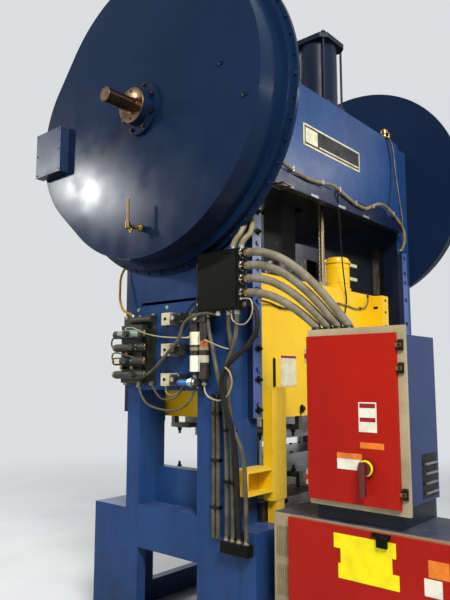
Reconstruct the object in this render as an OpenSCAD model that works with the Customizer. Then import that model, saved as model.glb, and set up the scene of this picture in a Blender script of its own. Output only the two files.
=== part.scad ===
// Straight-side mechanical stamping press, driven at both ends of its crankshaft.
// X runs along the crankshaft, Y from front to rear, Z up; the origin is on the
// floor under the middle of the bed. The slide is drawn at the top of its stroke.

/* [Frame] */
// Height of the bed's top face above the floor
bed_height = 760; // [700:10:820]
// Distance between the outer faces of the two uprights
frame_width = 2424; // [2380:4:2480]
// Thickness of an upright, across the press
upright_thickness = 222; // [212:2:232]
// Depth of an upright, from front to rear
upright_depth = 1064; // [1040:4:1080]
// Depth of the bed, from front to rear
bed_depth = 1388; // [1370:2:1420]
// Thickness of the bed's top plate
bed_top = 140; // [110:10:180]
// Height of the crown
crown_height = 693; // [680:1:720]
// Thickness of an upright beside the crown's end face
crown_side = 152; // [142:2:162]
// Depth of the crown, from front to rear
crown_depth = 1148; // [1140:2:1160]
// Radius of the crown's upright corners
crown_corner = 100; // [70:5:110]
// Thickness of the crown's plates
crown_plate = 40; // [30:2:46]
// Height of the side feed window's lower edge
window_bottom = 1018; // [960:1:1060]
// Height of the side feed window
window_height = 492; // [400:4:520]
// Width of the side feed window, from front to rear
window_width = 514; // [440:2:540]

/* [Crank drive] */
// Height of the crankshaft's axis above the floor
shaft_height = 3268; // [3250:1:3280]
// Height of the crankshaft's axis above the crown's underside
shaft_rise = 351; // [340:1:360]
// Radius of the crankshaft in its main bushes
main_r = 100; // [94:1:104]
// Radius of the crankshaft's end outside the guard
end_r = 45; // [36:1:54]
// How far the crankshaft's end stands out from the guard's face
end_length = 285; // [220:5:320]
// Throw of the eccentric, half the slide's stroke
throw = 50; // [40:1:52]
// Radius of the eccentric
eccentric_r = 165; // [160:1:170]
// Width of the eccentric
eccentric_width = 220; // [210:2:230]
// Wall of the pitman's ring round the eccentric
pitman_wall = 70; // [60:1:74]
// Width of the pitman's shank, from front to rear
pitman_shank = 180; // [150:2:190]
// Radius of the pitman's adjusting screw
screw_r = 60; // [50:1:62]
// Radius of the ball at the foot of the adjusting screw
ball_r = 80; // [74:1:82]
// Wall of the main bushes
bush_wall = 30; // [24:1:32]

/* [Gears] */
// Module of the teeth, pitch diameter over tooth count
gear_module = 15; // [14.9:0.05:15]
// Teeth of a bull gear
bull_teeth = 100; // [100:1:100]
// Teeth of a pinion
pinion_teeth = 18; // [18:1:18]
// Width of the gears' teeth
gear_width = 130; // [110:2:140]
// Play between the flanks of meshing teeth
backlash = 0.8; // [0.6:0.1:1.2]
// Radius of the back shaft
back_r = 60; // [54:1:62]
// Wall of the back shaft's bushes
back_bush_wall = 25; // [18:1:27]
// Width of a back shaft bracket
bracket_width = 130; // [110:2:140]
// Radius of the brake disc
brake_r = 260; // [230:2:270]
// Thickness of the brake disc
brake_thickness = 24; // [18:1:28]

/* [Flywheel drive] */
// Outer radius of the flywheel
flywheel_r = 560; // [540:2:570]
// Width of the flywheel
flywheel_width = 190; // [186:2:200]
// Radius of the motor's sheave
sheave_r = 110; // [100:1:120]
// Height of the motor's axis above the floor
motor_height = 2240; // [2200:5:2260]
// Radius of the motor's body
motor_r = 200; // [180:2:204]
// Length of the motor's body
motor_length = 560; // [520:5:570]
// Number of V-belts
belt_count = 5; // [4:1:5]
// Width of one V-belt
belt_width = 16; // [13:0.5:17]
// Height of one V-belt's section
belt_height = 11; // [9:0.5:12]

/* [Guards] */
// Radius of a gear guard round the crankshaft
guard_r = 950; // [940:1:960]
// Radius of a gear guard round its rear bulge
bulge_r = 665; // [655:1:675]
// Distance of the bulge's centre behind the crankshaft's axis
bulge_back = 400; // [395:1:405]
// Drop of the bulge's centre below the crankshaft's axis
bulge_drop = 33; // [20:1:40]
// Depth of a gear guard's main band
band_depth = 190; // [180:1:200]
// Depth of the stepped band next to the flange
step_depth = 47; // [40:1:56]
// How far the stepped band stands out from the main band
step_rise = 47; // [30:1:55]
// How far the flange stands out from the main band
flange_rise = 76; // [66:1:82]
// Thickness of the guard's flange and of its back plate
flange_plate = 12; // [8:1:14]
// Thickness of the guard's sheet
guard_sheet = 6; // [4:1:8]

/* [Slide and gibs] */
// Width of the slide
slide_width = 1950; // [1930:2:1960]
// Depth of the slide, from front to rear
slide_depth = 860; // [850:2:870]
// Height of the slide's underside above the floor, at the top of the stroke
slide_bottom = 1336; // [1320:1:1350]
// Height of the slide
slide_height = 930; // [920:2:940]
// Thickness of the slide's bottom flange
slide_flange = 95; // [80:1:105]
// Thickness of a gib, from front to rear
gib_thickness = 60; // [50:1:66]
// Width of a gib, across the press
gib_width = 85; // [70:1:90]
// Distance of a gib's outer face from the slide's front or rear face
gib_inset = 30; // [24:1:36]
// Distance of a gib's top end below the crown
gib_gap = 217; // [170:1:300]
// Thickness of the slide's bronze liners
liner = 10; // [8:0.5:12]
// Width of a keeper strip
keeper_width = 86; // [80:1:92]
// Thickness of a keeper strip
keeper_thickness = 42; // [36:1:46]
// Height of a keeper strip's lower end above the floor
keeper_bottom = 1360; // [1320:5:1380]
// Height of a keeper strip's upper end above the floor
keeper_top = 2445; // [2400:5:2480]

/* [Bolster and dies] */
// Thickness of the bolster plate
bolster_thickness = 110; // [100:2:120]
// Width of the bolster plate
bolster_width = 1950; // [1920:2:1964]
// Depth of the bolster plate, from front to rear
bolster_depth = 1120; // [1080:2:1130]
// Width of the die shoes
die_width = 1440; // [1400:5:1480]
// Depth of the die shoes, from front to rear
die_depth = 660; // [600:5:680]
// Thickness of a die shoe
shoe = 60; // [50:1:64]
// Radius of a die's guide pillar
pillar_r = 26; // [22:0.5:28]

/* [Counterbalance] */
// Outer radius of a counterbalance cylinder
balance_r = 142; // [136:1:144]
// Wall of a counterbalance cylinder
balance_wall = 17; // [12:1:20]
// Height of a counterbalance cylinder with its caps
balance_height = 588; // [560:2:620]
// Distance of a counterbalance cylinder's axis from the crankshaft's axis
balance_reach = 390; // [384:1:396]
// Radius of a counterbalance rod
rod_r = 20; // [17:0.5:22]

/* [Cabinets] */
// Width of the upper cabinet's door
door_width = 489; // [470:1:500]
// Height of the upper cabinet's door
door_height = 805; // [790:1:820]
// Height of the upper cabinet's door above the floor
cabinet_bottom = 998; // [990:1:1010]
// How far the upper cabinet's front flange stands out beside its door
flange_side = 38; // [30:1:44]
// Depth of the cabinets behind their doors
cabinet_depth = 426; // [400:2:440]
// Thickness of the cabinet doors
door_thickness = 20; // [16:1:24]
// Height of the lower cabinet
base_height = 898; // [890:1:904]
// Width of the lower cabinet's door
base_door_width = 960; // [940:2:980]
// Width of the louvred strip beside the lower cabinet's door
louvre_strip = 100; // [90:1:110]
// Diameter of the grey flexible conduits
conduit_d = 46; // [40:1:48]

/* [Hidden] */

// Gap between two faces that slide on each other
slip = 0.3;
// Radial play of a shaft in its bush, and of a wheel on its shaft
run_fit = 0.05;
// A cut runs this far past the face it leaves
past = 1;

frame_x = frame_width / 2;
inner_x = frame_x - upright_thickness;
upright_y = upright_depth / 2;
crown_x = frame_x - crown_side;
crown_width = 2 * crown_x;
crown_bottom = shaft_height - shaft_rise;
crown_y = crown_depth / 2;
crown_top = crown_bottom + crown_height;
bolster_top = bed_height + bolster_thickness;
slide_x = slide_width / 2;
slide_y = slide_depth / 2;
slide_top = slide_bottom + slide_height;
pin_height = shaft_height + throw;

guard_depth = band_depth + step_depth + flange_plate;
guard_back_x = frame_x + flange_plate;
guard_face_x = guard_back_x + guard_depth;

bull_r = gear_module * bull_teeth / 2;
pinion_r = gear_module * pinion_teeth / 2;
back_y = bull_r + pinion_r;
gear_x = guard_back_x + 76;
pressure_angle = 20;

gib_y1 = slide_y - gib_inset;
gib_y0 = gib_y1 - gib_thickness;
gib_x = inner_x - gib_width;
gib_top = crown_bottom - gib_gap;

flywheel_x = guard_face_x + 27;
belt_pitch = belt_width + 4;
belt_x = flywheel_x + 72;
drop_to_motor = shaft_height - motor_height;

ball_height = 2180;
well_floor = ball_height - ball_r - 2 * throw - 10;

door_x = -1236;
door_y1 = -1050;
door_y0 = door_y1 - door_width;
base_y1 = -820;
base_door_y1 = base_y1 - louvre_strip - 2;
base_door_y0 = base_door_y1 - base_door_width;
base_door_z0 = 40;
base_door_z1 = base_height - 12;
base_y0 = base_door_y0 - 38;
body_x0 = door_x + door_thickness + slip;

// The junction box stands clear of the guard's flange
box_back = -guard_back_x - flange_plate - 4;
box_depth = 66;
box_face = box_back - box_depth;
box_y0 = -652;
box_y1 = -342;
box_height = 350;
box_z1 = shaft_height - 949;
box_z0 = box_z1 - box_height;

// Each conduit's gland height on the junction box
gland_heights = box_z1 * [1, 1, 1, 1] - [29, 103, 178, 258];
// Each conduit's entry on the upper cabinet's top, as a Y value
entry_places = [-1254, -1194, -1134, -1067];
// The cabinet's body ends this far below its door's upper edge, and the flange this far above
rim_rise = 4;
flange_rise_top = 35;
flange_drop = 28;
gland_x = box_face + box_depth / 2;
entry_x = -1158;

$fn = 64;

function inv(a) = tan(a) - a * PI / 180;

// Half of a tooth's angle, in degrees, at radius r of a gear with pitch radius p
function half_tooth(r, p, teeth) =
    let (base = p * cos(pressure_angle))
    90 / teeth - backlash / 4 / p * 180 / PI
    + (inv(pressure_angle) - inv(acos(min(1, base / max(r, base))))) * 180 / PI;

function polar(r, a) = [r * cos(a), r * sin(a)];

// Outline of a spur gear whose first tooth is centred at angle turn
function gear_outline(teeth, turn) =
    let (p = gear_module * teeth / 2,
         root = p - 1.25 * gear_module,
         tip = p + gear_module,
         base = p * cos(pressure_angle),
         low = max(root, base),
         rungs = low > root ? [root, low, p, (p + tip) / 2, tip] : [root, p, tip])
    [for (k = [0 : teeth - 1])
        let (middle = turn + 360 * k / teeth)
        each concat(
            [for (r = rungs) polar(r, middle - half_tooth(r, p, teeth))],
            [for (i = [len(rungs) - 1 : -1 : 0])
                polar(rungs[i], middle + half_tooth(rungs[i], p, teeth))])];

// Two circles and the straight sides between them; the second lies at [x, y]. The sides
// run a hair inside the tangents, so that they cross the circles
module belt_outline(r1, r2, x, y) {
    reach = norm([x, y]);
    lean = atan2(y, x);
    open = acos((r1 - r2) / reach);
    a = r1 - slip;
    b = r2 - slip;
    circle(r1, $fn = 180);
    translate([x, y]) circle(r2, $fn = 120);
    polygon([polar(a, lean + open), polar(a, lean - open),
             [x, y] + polar(b, lean - open), [x, y] + polar(b, lean + open)]);
}

// Extrudes a drawing in the Y-Z plane along X, from x0 to x1
module along_x(x0, x1) {
    translate([x0, 0, 0]) rotate([90, 0, 90]) linear_extrude(x1 - x0) children();
}

// A cylinder along X, from x0 to x1, at the given Y and Z
module bar_x(x0, x1, r, y, z) {
    translate([x0, y, z]) rotate([0, 90, 0]) cylinder(h = x1 - x0, r = r);
}

// A block between two corners
module block(a, b) {
    translate(a) cube(b - a);
}

module both_ends() {
    children();
    mirror([1, 0, 0]) children();
}

module front_and_rear() {
    children();
    mirror([0, 1, 0]) children();
}

module round_plate(w, d, h, r) {
    linear_extrude(h) {
        square([w - 2 * r, d], center = true);
        square([w, d - 2 * r], center = true);
        for (x = [-1, 1], y = [-1, 1])
            translate([x * (w / 2 - r), y * (d / 2 - r)]) circle(r);
    }
}

// Frame

foot_x = 130;
foot_y = 180;
foot_height = 45;
anchor_x = frame_x + 60;
anchor_y = bed_depth / 2 - foot_y / 2;
anchor_r = 20;

bed_window_y = 260;
bed_window_x = 740;

module bed() {
    wall = 70;
    half_d = bed_depth / 2;
    color("#1f3f86") difference() {
        union() {
            block([-frame_x, -half_d, 0], [frame_x, half_d, bed_height]);
            both_ends() front_and_rear()
                block([frame_x - past, half_d - foot_y, 0],
                      [frame_x + foot_x, half_d, foot_height]);
        }
        block([-frame_x + wall, -half_d + wall, -past],
              [frame_x - wall, half_d - wall, bed_height - bed_top]);
        block([-bed_window_x, -half_d - past, 150],
              [bed_window_x, half_d + past, bed_height - bed_top - 90]);
        block([-frame_x - past, -bed_window_y, 150],
              [frame_x + past, bed_window_y, bed_height - bed_top - 90]);
        block([-300, -170, 0], [300, 170, bed_height + past]);
        both_ends() front_and_rear() translate([anchor_x, anchor_y, -past])
            cylinder(h = foot_height + 2 * past, r = anchor_r);
    }
}

ledge = shaft_height - 1187;
bush_r = main_r + bush_wall;
post_depth = (upright_depth - window_width) / 2;
web = 72;
corner_x = 132;
corner_y = 154;

// The left upright's outer rear corner is cut off at a slant below the crown
module upright(slanted) {
    color("#1f3f86") difference() {
        union() {
            block([inner_x, -upright_y, bed_height], [frame_x, upright_y, crown_bottom]);
            block([crown_x, -upright_y, crown_bottom - past], [frame_x, upright_y, crown_top]);
        }
        block([inner_x + web, -upright_y + post_depth, bed_height + 30],
              [frame_x + past, upright_y - post_depth, ledge]);
        block([inner_x - past, -window_width / 2, window_bottom],
              [frame_x + past, window_width / 2, window_bottom + window_height]);
        bar_x(crown_x - past, frame_x + past, bush_r + run_fit, 0, shaft_height);
        if (slanted) translate([frame_x, upright_y, bed_height - past])
            linear_extrude(crown_bottom - bed_height + past)
                polygon([[past, -corner_y], [past, past], [-corner_x, past],
                         [-corner_x, 0], [0, -corner_y]]);
    }
}

module left_upright() { mirror([1, 0, 0]) upright(true); }
module right_upright() { upright(false); }

bulkhead_x0 = 240;
bulkhead_x1 = 320;
slot_x = 125;
slot_y = pitman_shank / 2 + throw + 30;
// The tie bar along the crown's front lower edge
lip_drop = 95;
lip_rise = 8;
lip_depth = 20;
lip_back = 38;

module crown() {
    roof = crown_top - crown_plate;
    floor_top = crown_bottom + 50;
    color("#1f3f86") difference() {
        union() {
            translate([0, 0, crown_bottom])
                round_plate(crown_width, crown_depth, crown_height, crown_corner);
            block([-crown_x + crown_corner, -crown_y - lip_depth, crown_bottom - lip_drop],
                  [crown_x - crown_corner, -crown_y + lip_back, crown_bottom + lip_rise]);
        }
        block([-bulkhead_x0, -crown_y + crown_plate, floor_top],
              [bulkhead_x0, crown_y - crown_plate, roof]);
        both_ends() block([bulkhead_x1, -crown_y + crown_plate + 20, floor_top],
                          [crown_x - 60, crown_y - crown_plate - 20, roof]);
        block([-slot_x, -slot_y, crown_bottom - past], [slot_x, slot_y, floor_top + past]);
        both_ends() bar_x(bulkhead_x0 - past, bulkhead_x1 + past, bush_r + run_fit, 0, shaft_height);
        both_ends() bar_x(crown_x - 60 - past, crown_x + past, main_r + 20, 0, shaft_height);
        front_and_rear() translate([0, balance_reach, crown_bottom - past])
            cylinder(h = crown_height + 2 * past, r = rod_r + 8);
    }
}

t_slot_pitch = 370;

// Slots shaped like a T run from front to rear in a plate
module t_slots(half_d, top, way) {
    for (k = [-2 : 2]) {
        translate([k * t_slot_pitch, 0, top]) scale_z(way) {
            block([-13, -half_d - past, -34], [13, half_d + past, past]);
            block([-22, -half_d - past, -34], [22, half_d + past, -20]);
        }
    }
}

module scale_z(way) {
    if (way < 0) mirror([0, 0, 1]) children();
    else children();
}

module bolster() {
    half_w = bolster_width / 2;
    half_d = bolster_depth / 2;
    color("#6d7075") difference() {
        block([-half_w, -half_d, bed_height], [half_w, half_d, bolster_top]);
        t_slots(half_d, bolster_top, 1);
        block([-250, -120, bed_height - past], [250, 120, bolster_top + past]);
        both_ends() front_and_rear() translate([half_w - 60, half_d - 60, bolster_top - 40])
            cylinder(h = 41, r = 22);
    }
}

// Slide

// The box on the front of the slide, near its right end
bracket_place = 641;
bracket_size = [107, 118, 370];
slot_place = -673;
slot_r = 15;
slot_z0 = slide_bottom + 210;
slot_z1 = slide_bottom + 371;

module slide() {
    front_wall = 30;
    color("#f2c91c")
        translate([bracket_place, -slide_y - bracket_size[1], slide_top - bracket_size[2] - 14])
            cube(bracket_size + [0, past, 0]);
    color("#f2c91c") difference() {
        block([-slide_x, -slide_y, slide_bottom], [slide_x, slide_y, slide_top]);
        both_ends() front_and_rear()
            block([gib_x - slip, gib_y0 - liner - slip, slide_bottom - past],
                  [slide_x + past, gib_y1 + liner + slip, slide_top + past]);
        both_ends() block([slide_x - 35, -slide_y - past, slide_bottom - past],
                          [slide_x + past, slide_y + past, slide_bottom + slide_flange]);
        block([-screw_r - 40, -ball_r - throw - 10, well_floor],
              [screw_r + 40, ball_r + throw + 10, slide_top + past]);
        translate([slot_place, -slide_y - past, 0]) {
            block([-slot_r, 0, slot_z0], [slot_r, front_wall, slot_z1]);
            for (z = [slot_z0, slot_z1]) translate([0, 0, z]) rotate([-90, 0, 0])
                cylinder(h = front_wall, r = slot_r);
        }
        t_slots(slide_y, slide_bottom, -1);
        front_and_rear() translate([0, balance_reach, slide_top - 80])
            cylinder(h = 81, r = rod_r + run_fit);
    }
}

module slide_liners() {
    color("#b08d4a") both_ends() front_and_rear() for (y = [gib_y0 - liner - slip, gib_y1 + slip])
        block([gib_x, y, slide_bottom + slide_flange + 40],
              [slide_x - 3, y + liner, slide_top - 20]);
}

barrel_x = 330;
barrel_y = -322;
barrel_r = 108;
barrel_height = 272;

module slide_adjust_motor() {
    color("#f2c91c") translate([barrel_x, barrel_y, slide_top]) {
        cylinder(h = 24, r = barrel_r);
        translate([0, 0, 24 - past]) cylinder(h = barrel_height - 74, r = barrel_r - 9);
        translate([0, 0, barrel_height - 51]) cylinder(h = 20, r = barrel_r);
        translate([0, 0, barrel_height - 31]) rotate_extrude()
            polygon([[0, 0], [barrel_r - 9, 0], [barrel_r - 12, 18], [barrel_r - 30, 31], [0, 31]]);
        for (z = [105, 215]) block([barrel_r - 20, -26, z], [barrel_r + 42, 26, z + 20]);
    }
}

module gib_pair() {
    color("#8f8874") front_and_rear()
        block([gib_x, gib_y0, slide_bottom - 40], [inner_x, gib_y1, gib_top]);
}

module left_gibs() { mirror([1, 0, 0]) gib_pair(); }
module right_gibs() { gib_pair(); }

bolt_heights = [1436, 1640, 1844, 2048, 2250, 2400];

// The left upright's keepers reach this much higher
keeper_extra = 215;

module keeper_pair(extra) {
    x0 = inner_x;
    color("#5d6cab") front_and_rear() {
        block([x0, upright_y, keeper_bottom],
              [x0 + keeper_width, upright_y + keeper_thickness, keeper_top + extra]);
        for (z = bolt_heights) translate([x0 + keeper_width / 2, upright_y + keeper_thickness, z])
            rotate([-90, 0, 0]) cylinder(h = 14, r = 15, $fn = 6);
    }
}

module left_keepers() { mirror([1, 0, 0]) keeper_pair(keeper_extra); }
module right_keepers() { keeper_pair(0); }

// Crankshaft and pitman

inner_end_x = guard_face_x - guard_sheet - 27;
seal_x = guard_face_x + 74;
seal_r = end_r + 5;
keyway_length = 92;

module crankshaft() {
    reach = guard_face_x + end_length;
    color("#8a6a4c") difference() {
        union() {
            bar_x(-inner_end_x, inner_end_x, main_r, 0, shaft_height);
            bar_x(-eccentric_width / 2, eccentric_width / 2, eccentric_r, 0, pin_height);
            bar_x(-seal_x - 4, -inner_end_x + past, seal_r, 0, shaft_height);
            bar_x(-reach + 4, -seal_x - 3, end_r, 0, shaft_height);
            translate([-reach, 0, shaft_height]) rotate([0, 90, 0])
                cylinder(h = 4, r1 = end_r - 4, r2 = end_r);
        }
        block([-reach - past, -8, shaft_height + end_r - 8],
              [-reach + keyway_length, 8, shaft_height + end_r + past]);
    }
}

module bull_gear() {
    x1 = gear_x + gear_width;
    color("#5f6267") difference() {
        union() {
            translate([0, 0, shaft_height]) along_x(gear_x, x1) polygon(gear_outline(bull_teeth, 0));
            bar_x(guard_back_x + 20, x1 + 8, 185, 0, shaft_height);
        }
        for (side = [[gear_x - past, gear_x + 42], [x1 - 42, x1 + past]])
            translate([side[0], 0, shaft_height]) rotate([0, 90, 0]) difference() {
                cylinder(h = side[1] - side[0], r = bull_r - 85);
                translate([0, 0, -past]) cylinder(h = gear_width, r = 185);
            }
        for (k = [0 : 5]) bar_x(gear_x, x1, 125, 430 * cos(60 * k + 30),
                                shaft_height + 430 * sin(60 * k + 30));
        bar_x(guard_back_x, x1 + 20, main_r + run_fit, 0, shaft_height);
    }
}

module left_bull_gear() { mirror([1, 0, 0]) bull_gear(); }
module right_bull_gear() { bull_gear(); }

module tube_x(x0, x1, r_in, r_out, y, z) {
    difference() {
        bar_x(x0, x1, r_out, y, z);
        bar_x(x0 - past, x1 + past, r_in, y, z);
    }
}

module main_bushes() {
    color("#b08d4a") both_ends() {
        tube_x(bulkhead_x0, bulkhead_x1, main_r + run_fit, bush_r, 0, shaft_height);
        tube_x(crown_x + 2, frame_x, main_r + run_fit, bush_r, 0, shaft_height);
    }
}

pitman_x = eccentric_width / 2 - 6;
pitman_foot = 2500;
thread_length = 150;

module pitman() {
    ring = eccentric_r + pitman_wall;
    color("#3c4046") difference() {
        union() {
            bar_x(-pitman_x, pitman_x, ring, 0, pin_height);
            along_x(-pitman_x + 14, pitman_x - 14) polygon([
                [-ring * 0.8, pin_height - ring * 0.6], [ring * 0.8, pin_height - ring * 0.6],
                [pitman_shank / 2, pin_height - ring - 110], [pitman_shank / 2, pitman_foot],
                [-pitman_shank / 2, pitman_foot], [-pitman_shank / 2, pin_height - ring - 110]]);
        }
        bar_x(-pitman_x - past, pitman_x + past, eccentric_r + run_fit, 0, pin_height);
        translate([0, 0, pitman_foot - past])
            cylinder(h = thread_length + past, r = screw_r + run_fit);
    }
}

module ball_screw() {
    neck = ball_height + sqrt(ball_r * ball_r - pow(screw_r - 14, 2)) - 4;
    color("#9b9da1") {
        translate([0, 0, ball_height]) sphere(ball_r);
        translate([0, 0, neck]) cylinder(h = 90, r = screw_r - 14);
        translate([0, 0, neck + 80])
            cylinder(h = pitman_foot + thread_length - 10 - neck - 80, r = screw_r);
        translate([0, 0, pitman_foot - 92]) cylinder(h = 90, r = screw_r + 55);
    }
}

// Back shaft, brake and flywheel

shaft_end_x = flywheel_x + flywheel_width + 110;
bracket_x1 = frame_x - 2;
bracket_x0 = bracket_x1 - bracket_width;
disc_x = 600;

module back_shaft() {
    color("#8d8f94") {
        bar_x(-inner_end_x, shaft_end_x, back_r, back_y, shaft_height);
    }
}

module pinion() {
    x1 = gear_x + gear_width;
    color("#5f6267") difference() {
        translate([0, back_y, shaft_height]) along_x(gear_x - 3, x1 + 3)
            polygon(gear_outline(pinion_teeth, 180 / pinion_teeth));
        bar_x(gear_x - 10, x1 + 10, back_r + run_fit, back_y, shaft_height);
    }
}

module left_pinion() { mirror([1, 0, 0]) pinion(); }
module right_pinion() { pinion(); }

housing_r = back_r + back_bush_wall + 55;

module shaft_bracket() {
    color("#1f3f86") difference() {
        union() {
            bar_x(bracket_x0, bracket_x1, housing_r, back_y, shaft_height);
            translate([0, 0, shaft_height]) along_x(bracket_x0 + 25, bracket_x1 - 25) polygon([
                [upright_y, -330], [upright_y, 200], [back_y, housing_r - 2],
                [back_y + 40, -housing_r + 20], [upright_y + 60, -330]]);
            translate([0, 0, shaft_height]) along_x(bracket_x0 - 20, bracket_x1)
                polygon([[upright_y, -330], [upright_y, 240],
                         [upright_y + 30, 240], [upright_y + 30, -330]]);
        }
        bar_x(bracket_x0 - past, bracket_x1 + past, back_r + back_bush_wall + run_fit,
              back_y, shaft_height);
    }
}

module left_shaft_bracket() { mirror([1, 0, 0]) shaft_bracket(); }
module right_shaft_bracket() { shaft_bracket(); }

module shaft_bushes() {
    color("#b08d4a") both_ends()
        tube_x(bracket_x0, bracket_x1, back_r + run_fit, back_r + back_bush_wall, back_y, shaft_height);
}

module brake_disc() {
    color("#777a80") difference() {
        union() {
            bar_x(disc_x, disc_x + brake_thickness, brake_r, back_y, shaft_height);
            bar_x(disc_x - 50, disc_x + brake_thickness + 50, back_r + 40, back_y, shaft_height);
        }
        bar_x(disc_x - 60, disc_x + brake_thickness + 60, back_r + run_fit, back_y, shaft_height);
    }
}

module brake_caliper() {
    color("#2b2d31") difference() {
        block([disc_x - 70, crown_y, shaft_height - 95],
              [disc_x + brake_thickness + 70, crown_y + 170, shaft_height + 95]);
        block([disc_x - 3, crown_y + 40, shaft_height - 96],
              [disc_x + brake_thickness + 3, crown_y + 171, shaft_height + 96]);
    }
}

groove_depth = belt_height + 3;

module grooves(r, depth_x) {
    for (k = [0 : belt_count - 1]) {
        x = depth_x + k * belt_pitch - 1;
        translate([x, 0, 0]) rotate([0, 90, 0]) difference() {
            cylinder(h = belt_width + 2, r = r + 5);
            translate([0, 0, -past]) cylinder(h = belt_width + 4, r = r - groove_depth);
        }
    }
}

module flywheel() {
    x1 = flywheel_x + flywheel_width;
    color("#3f444b") difference() {
        bar_x(flywheel_x, x1, flywheel_r, back_y, shaft_height);
        translate([0, back_y, shaft_height]) {
            grooves(flywheel_r, belt_x);
            for (side = [[flywheel_x - past, flywheel_x + 60], [x1 - 60, x1 + past]])
                translate([side[0], 0, 0]) rotate([0, 90, 0]) difference() {
                    cylinder(h = side[1] - side[0], r = flywheel_r - 95);
                    translate([0, 0, -past]) cylinder(h = flywheel_width, r = 150);
                }
        }
        bar_x(flywheel_x - past, x1 + past, back_r + 20, back_y, shaft_height);
    }
}

module flywheel_bearing() {
    color("#c2c4c8") tube_x(flywheel_x + 5, flywheel_x + flywheel_width - 5, back_r + run_fit,
                            back_r + 20 - run_fit, back_y, shaft_height);
}

clutch_r = 260;
clutch_plate = 40;
clutch_width = 90;

module clutch() {
    x0 = flywheel_x + flywheel_width + 2;
    color("#6b2f22") difference() {
        union() {
            bar_x(x0, x0 + clutch_plate, clutch_r, back_y, shaft_height);
            bar_x(x0 + clutch_plate - past, x0 + clutch_width, clutch_r - 70, back_y, shaft_height);
        }
        bar_x(x0 - past, x0 + clutch_width + past, back_r + run_fit, back_y, shaft_height);
    }
}

motor_x0 = 850;
motor_x1 = motor_x0 + motor_length;
motor_shaft_r = 30;
shelf_top = motor_height - motor_r - 20;

module drive_motor() {
    color("#2b3f6b") {
        difference() {
            union() {
                bar_x(motor_x0, motor_x1 - 30, motor_r - 14, back_y, motor_height);
                bar_x(motor_x1 - 90, motor_x1 - 20, motor_r, back_y, motor_height);
                for (k = [0 : 23]) translate([0, back_y, motor_height]) rotate([15 * k, 0, 0])
                    block([motor_x0 + 90, -3, motor_r - 18], [motor_x1 - 80, 3, motor_r]);
                bar_x(motor_x0, motor_x0 + 80, motor_r, back_y, motor_height);
                block([motor_x0 + 110, back_y - 170, shelf_top],
                      [motor_x1 - 110, back_y + 170, motor_height - 120]);
                block([motor_x0 + 180, back_y - 90, motor_height + 100],
                      [motor_x0 + 360, back_y + 90, motor_height + motor_r + 60]);
            }
            bar_x(motor_x0 + 60, motor_x1, motor_shaft_r + slip, back_y, motor_height);
        }
    }
}

module motor_sheave() {
    color("#55585d") {
        bar_x(motor_x0 + 62, belt_x + 30, motor_shaft_r, back_y, motor_height);
        difference() {
            bar_x(belt_x - 8, belt_x + belt_count * belt_pitch + 4, sheave_r, back_y, motor_height);
            translate([0, back_y, motor_height]) grooves(sheave_r, belt_x);
        }
    }
}

module motor_shelf() {
    plate_x = inner_x + keeper_width + 8;
    front = upright_y + keeper_thickness + 18;
    color("#1f3f86") {
        block([motor_x0 + 20, front, shelf_top - 24], [motor_x1 - 20, back_y + 230, shelf_top]);
        block([plate_x, upright_y + 23, shelf_top - 24], [frame_x - 6, front + past, shelf_top]);
        block([plate_x, upright_y, shelf_top - 380], [frame_x - 6, upright_y + 24, shelf_top]);
        for (x = [plate_x, frame_x - 40]) along_x(x, x + 20)
            polygon([[upright_y + 23, shelf_top - 370], [upright_y + 23, shelf_top - 23],
                     [back_y + 200, shelf_top - 23], [back_y + 200, shelf_top - 70]]);
    }
}

module drive_belts() {
    lift = groove_depth - slip;
    color("#191a1c") for (k = [0 : belt_count - 1])
        translate([0, back_y, shaft_height])
            along_x(belt_x + k * belt_pitch, belt_x + k * belt_pitch + belt_width) difference() {
                belt_outline(flywheel_r - lift + belt_height, sheave_r - lift + belt_height,
                             0, -drop_to_motor);
                belt_outline(flywheel_r - lift, sheave_r - lift, 0, -drop_to_motor);
            }
}

cover_x1 = shaft_end_x + 20;
cover_r = flywheel_r + 50;

module flywheel_guard() {
    sheet = 5;
    color("#1f3f86") translate([0, back_y, shaft_height]) difference() {
        along_x(guard_face_x, cover_x1) belt_outline(cover_r, sheave_r + 90, 0, -drop_to_motor);
        along_x(guard_face_x + sheet, cover_x1 - sheet)
            belt_outline(cover_r - sheet, sheave_r + 90 - sheet, 0, -drop_to_motor);
        bar_x(guard_face_x - past, guard_face_x + 10, back_r + 15, 0, 0);
        bar_x(guard_face_x - past, guard_face_x + 10, motor_shaft_r + 15, 0, -drop_to_motor);
    }
}

// Gear guards

module drum(extra) {
    belt_outline(guard_r + extra, bulge_r + extra, bulge_back, -bulge_drop);
}

module gear_guard(hole_r, shaft_hole) {
    x_flange = guard_back_x;
    x_step = x_flange + flange_plate;
    x_band = x_step + step_depth;
    color("#1b3a7d") translate([0, 0, shaft_height]) difference() {
        union() {
            along_x(x_flange, x_step) drum(flange_rise);
            along_x(x_step - past, x_band) drum(step_rise);
            along_x(x_band - past, guard_face_x) drum(0);
        }
        along_x(x_flange - past, x_band - guard_sheet) drum(step_rise - guard_sheet);
        along_x(x_band - guard_sheet - past, guard_face_x - guard_sheet) drum(-guard_sheet);
        if (hole_r > 0) bar_x(guard_face_x - 20, guard_face_x + past, hole_r, 0, 0);
        if (shaft_hole) bar_x(guard_face_x - 20, guard_face_x + past, back_r + 15, back_y, 0);
    }
}

module left_gear_guard() { mirror([1, 0, 0]) gear_guard(seal_r + 10, false); }
module right_gear_guard() { gear_guard(0, true); }

module guard_back() {
    color("#1b3a7d") translate([0, 0, shaft_height]) difference() {
        along_x(frame_x, guard_back_x) drum(flange_rise);
        bar_x(frame_x - past, guard_back_x + past, main_r + 15, 0, 0);
        bar_x(frame_x - past, guard_back_x + past, back_r + 15, back_y, 0);
    }
}

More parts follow.
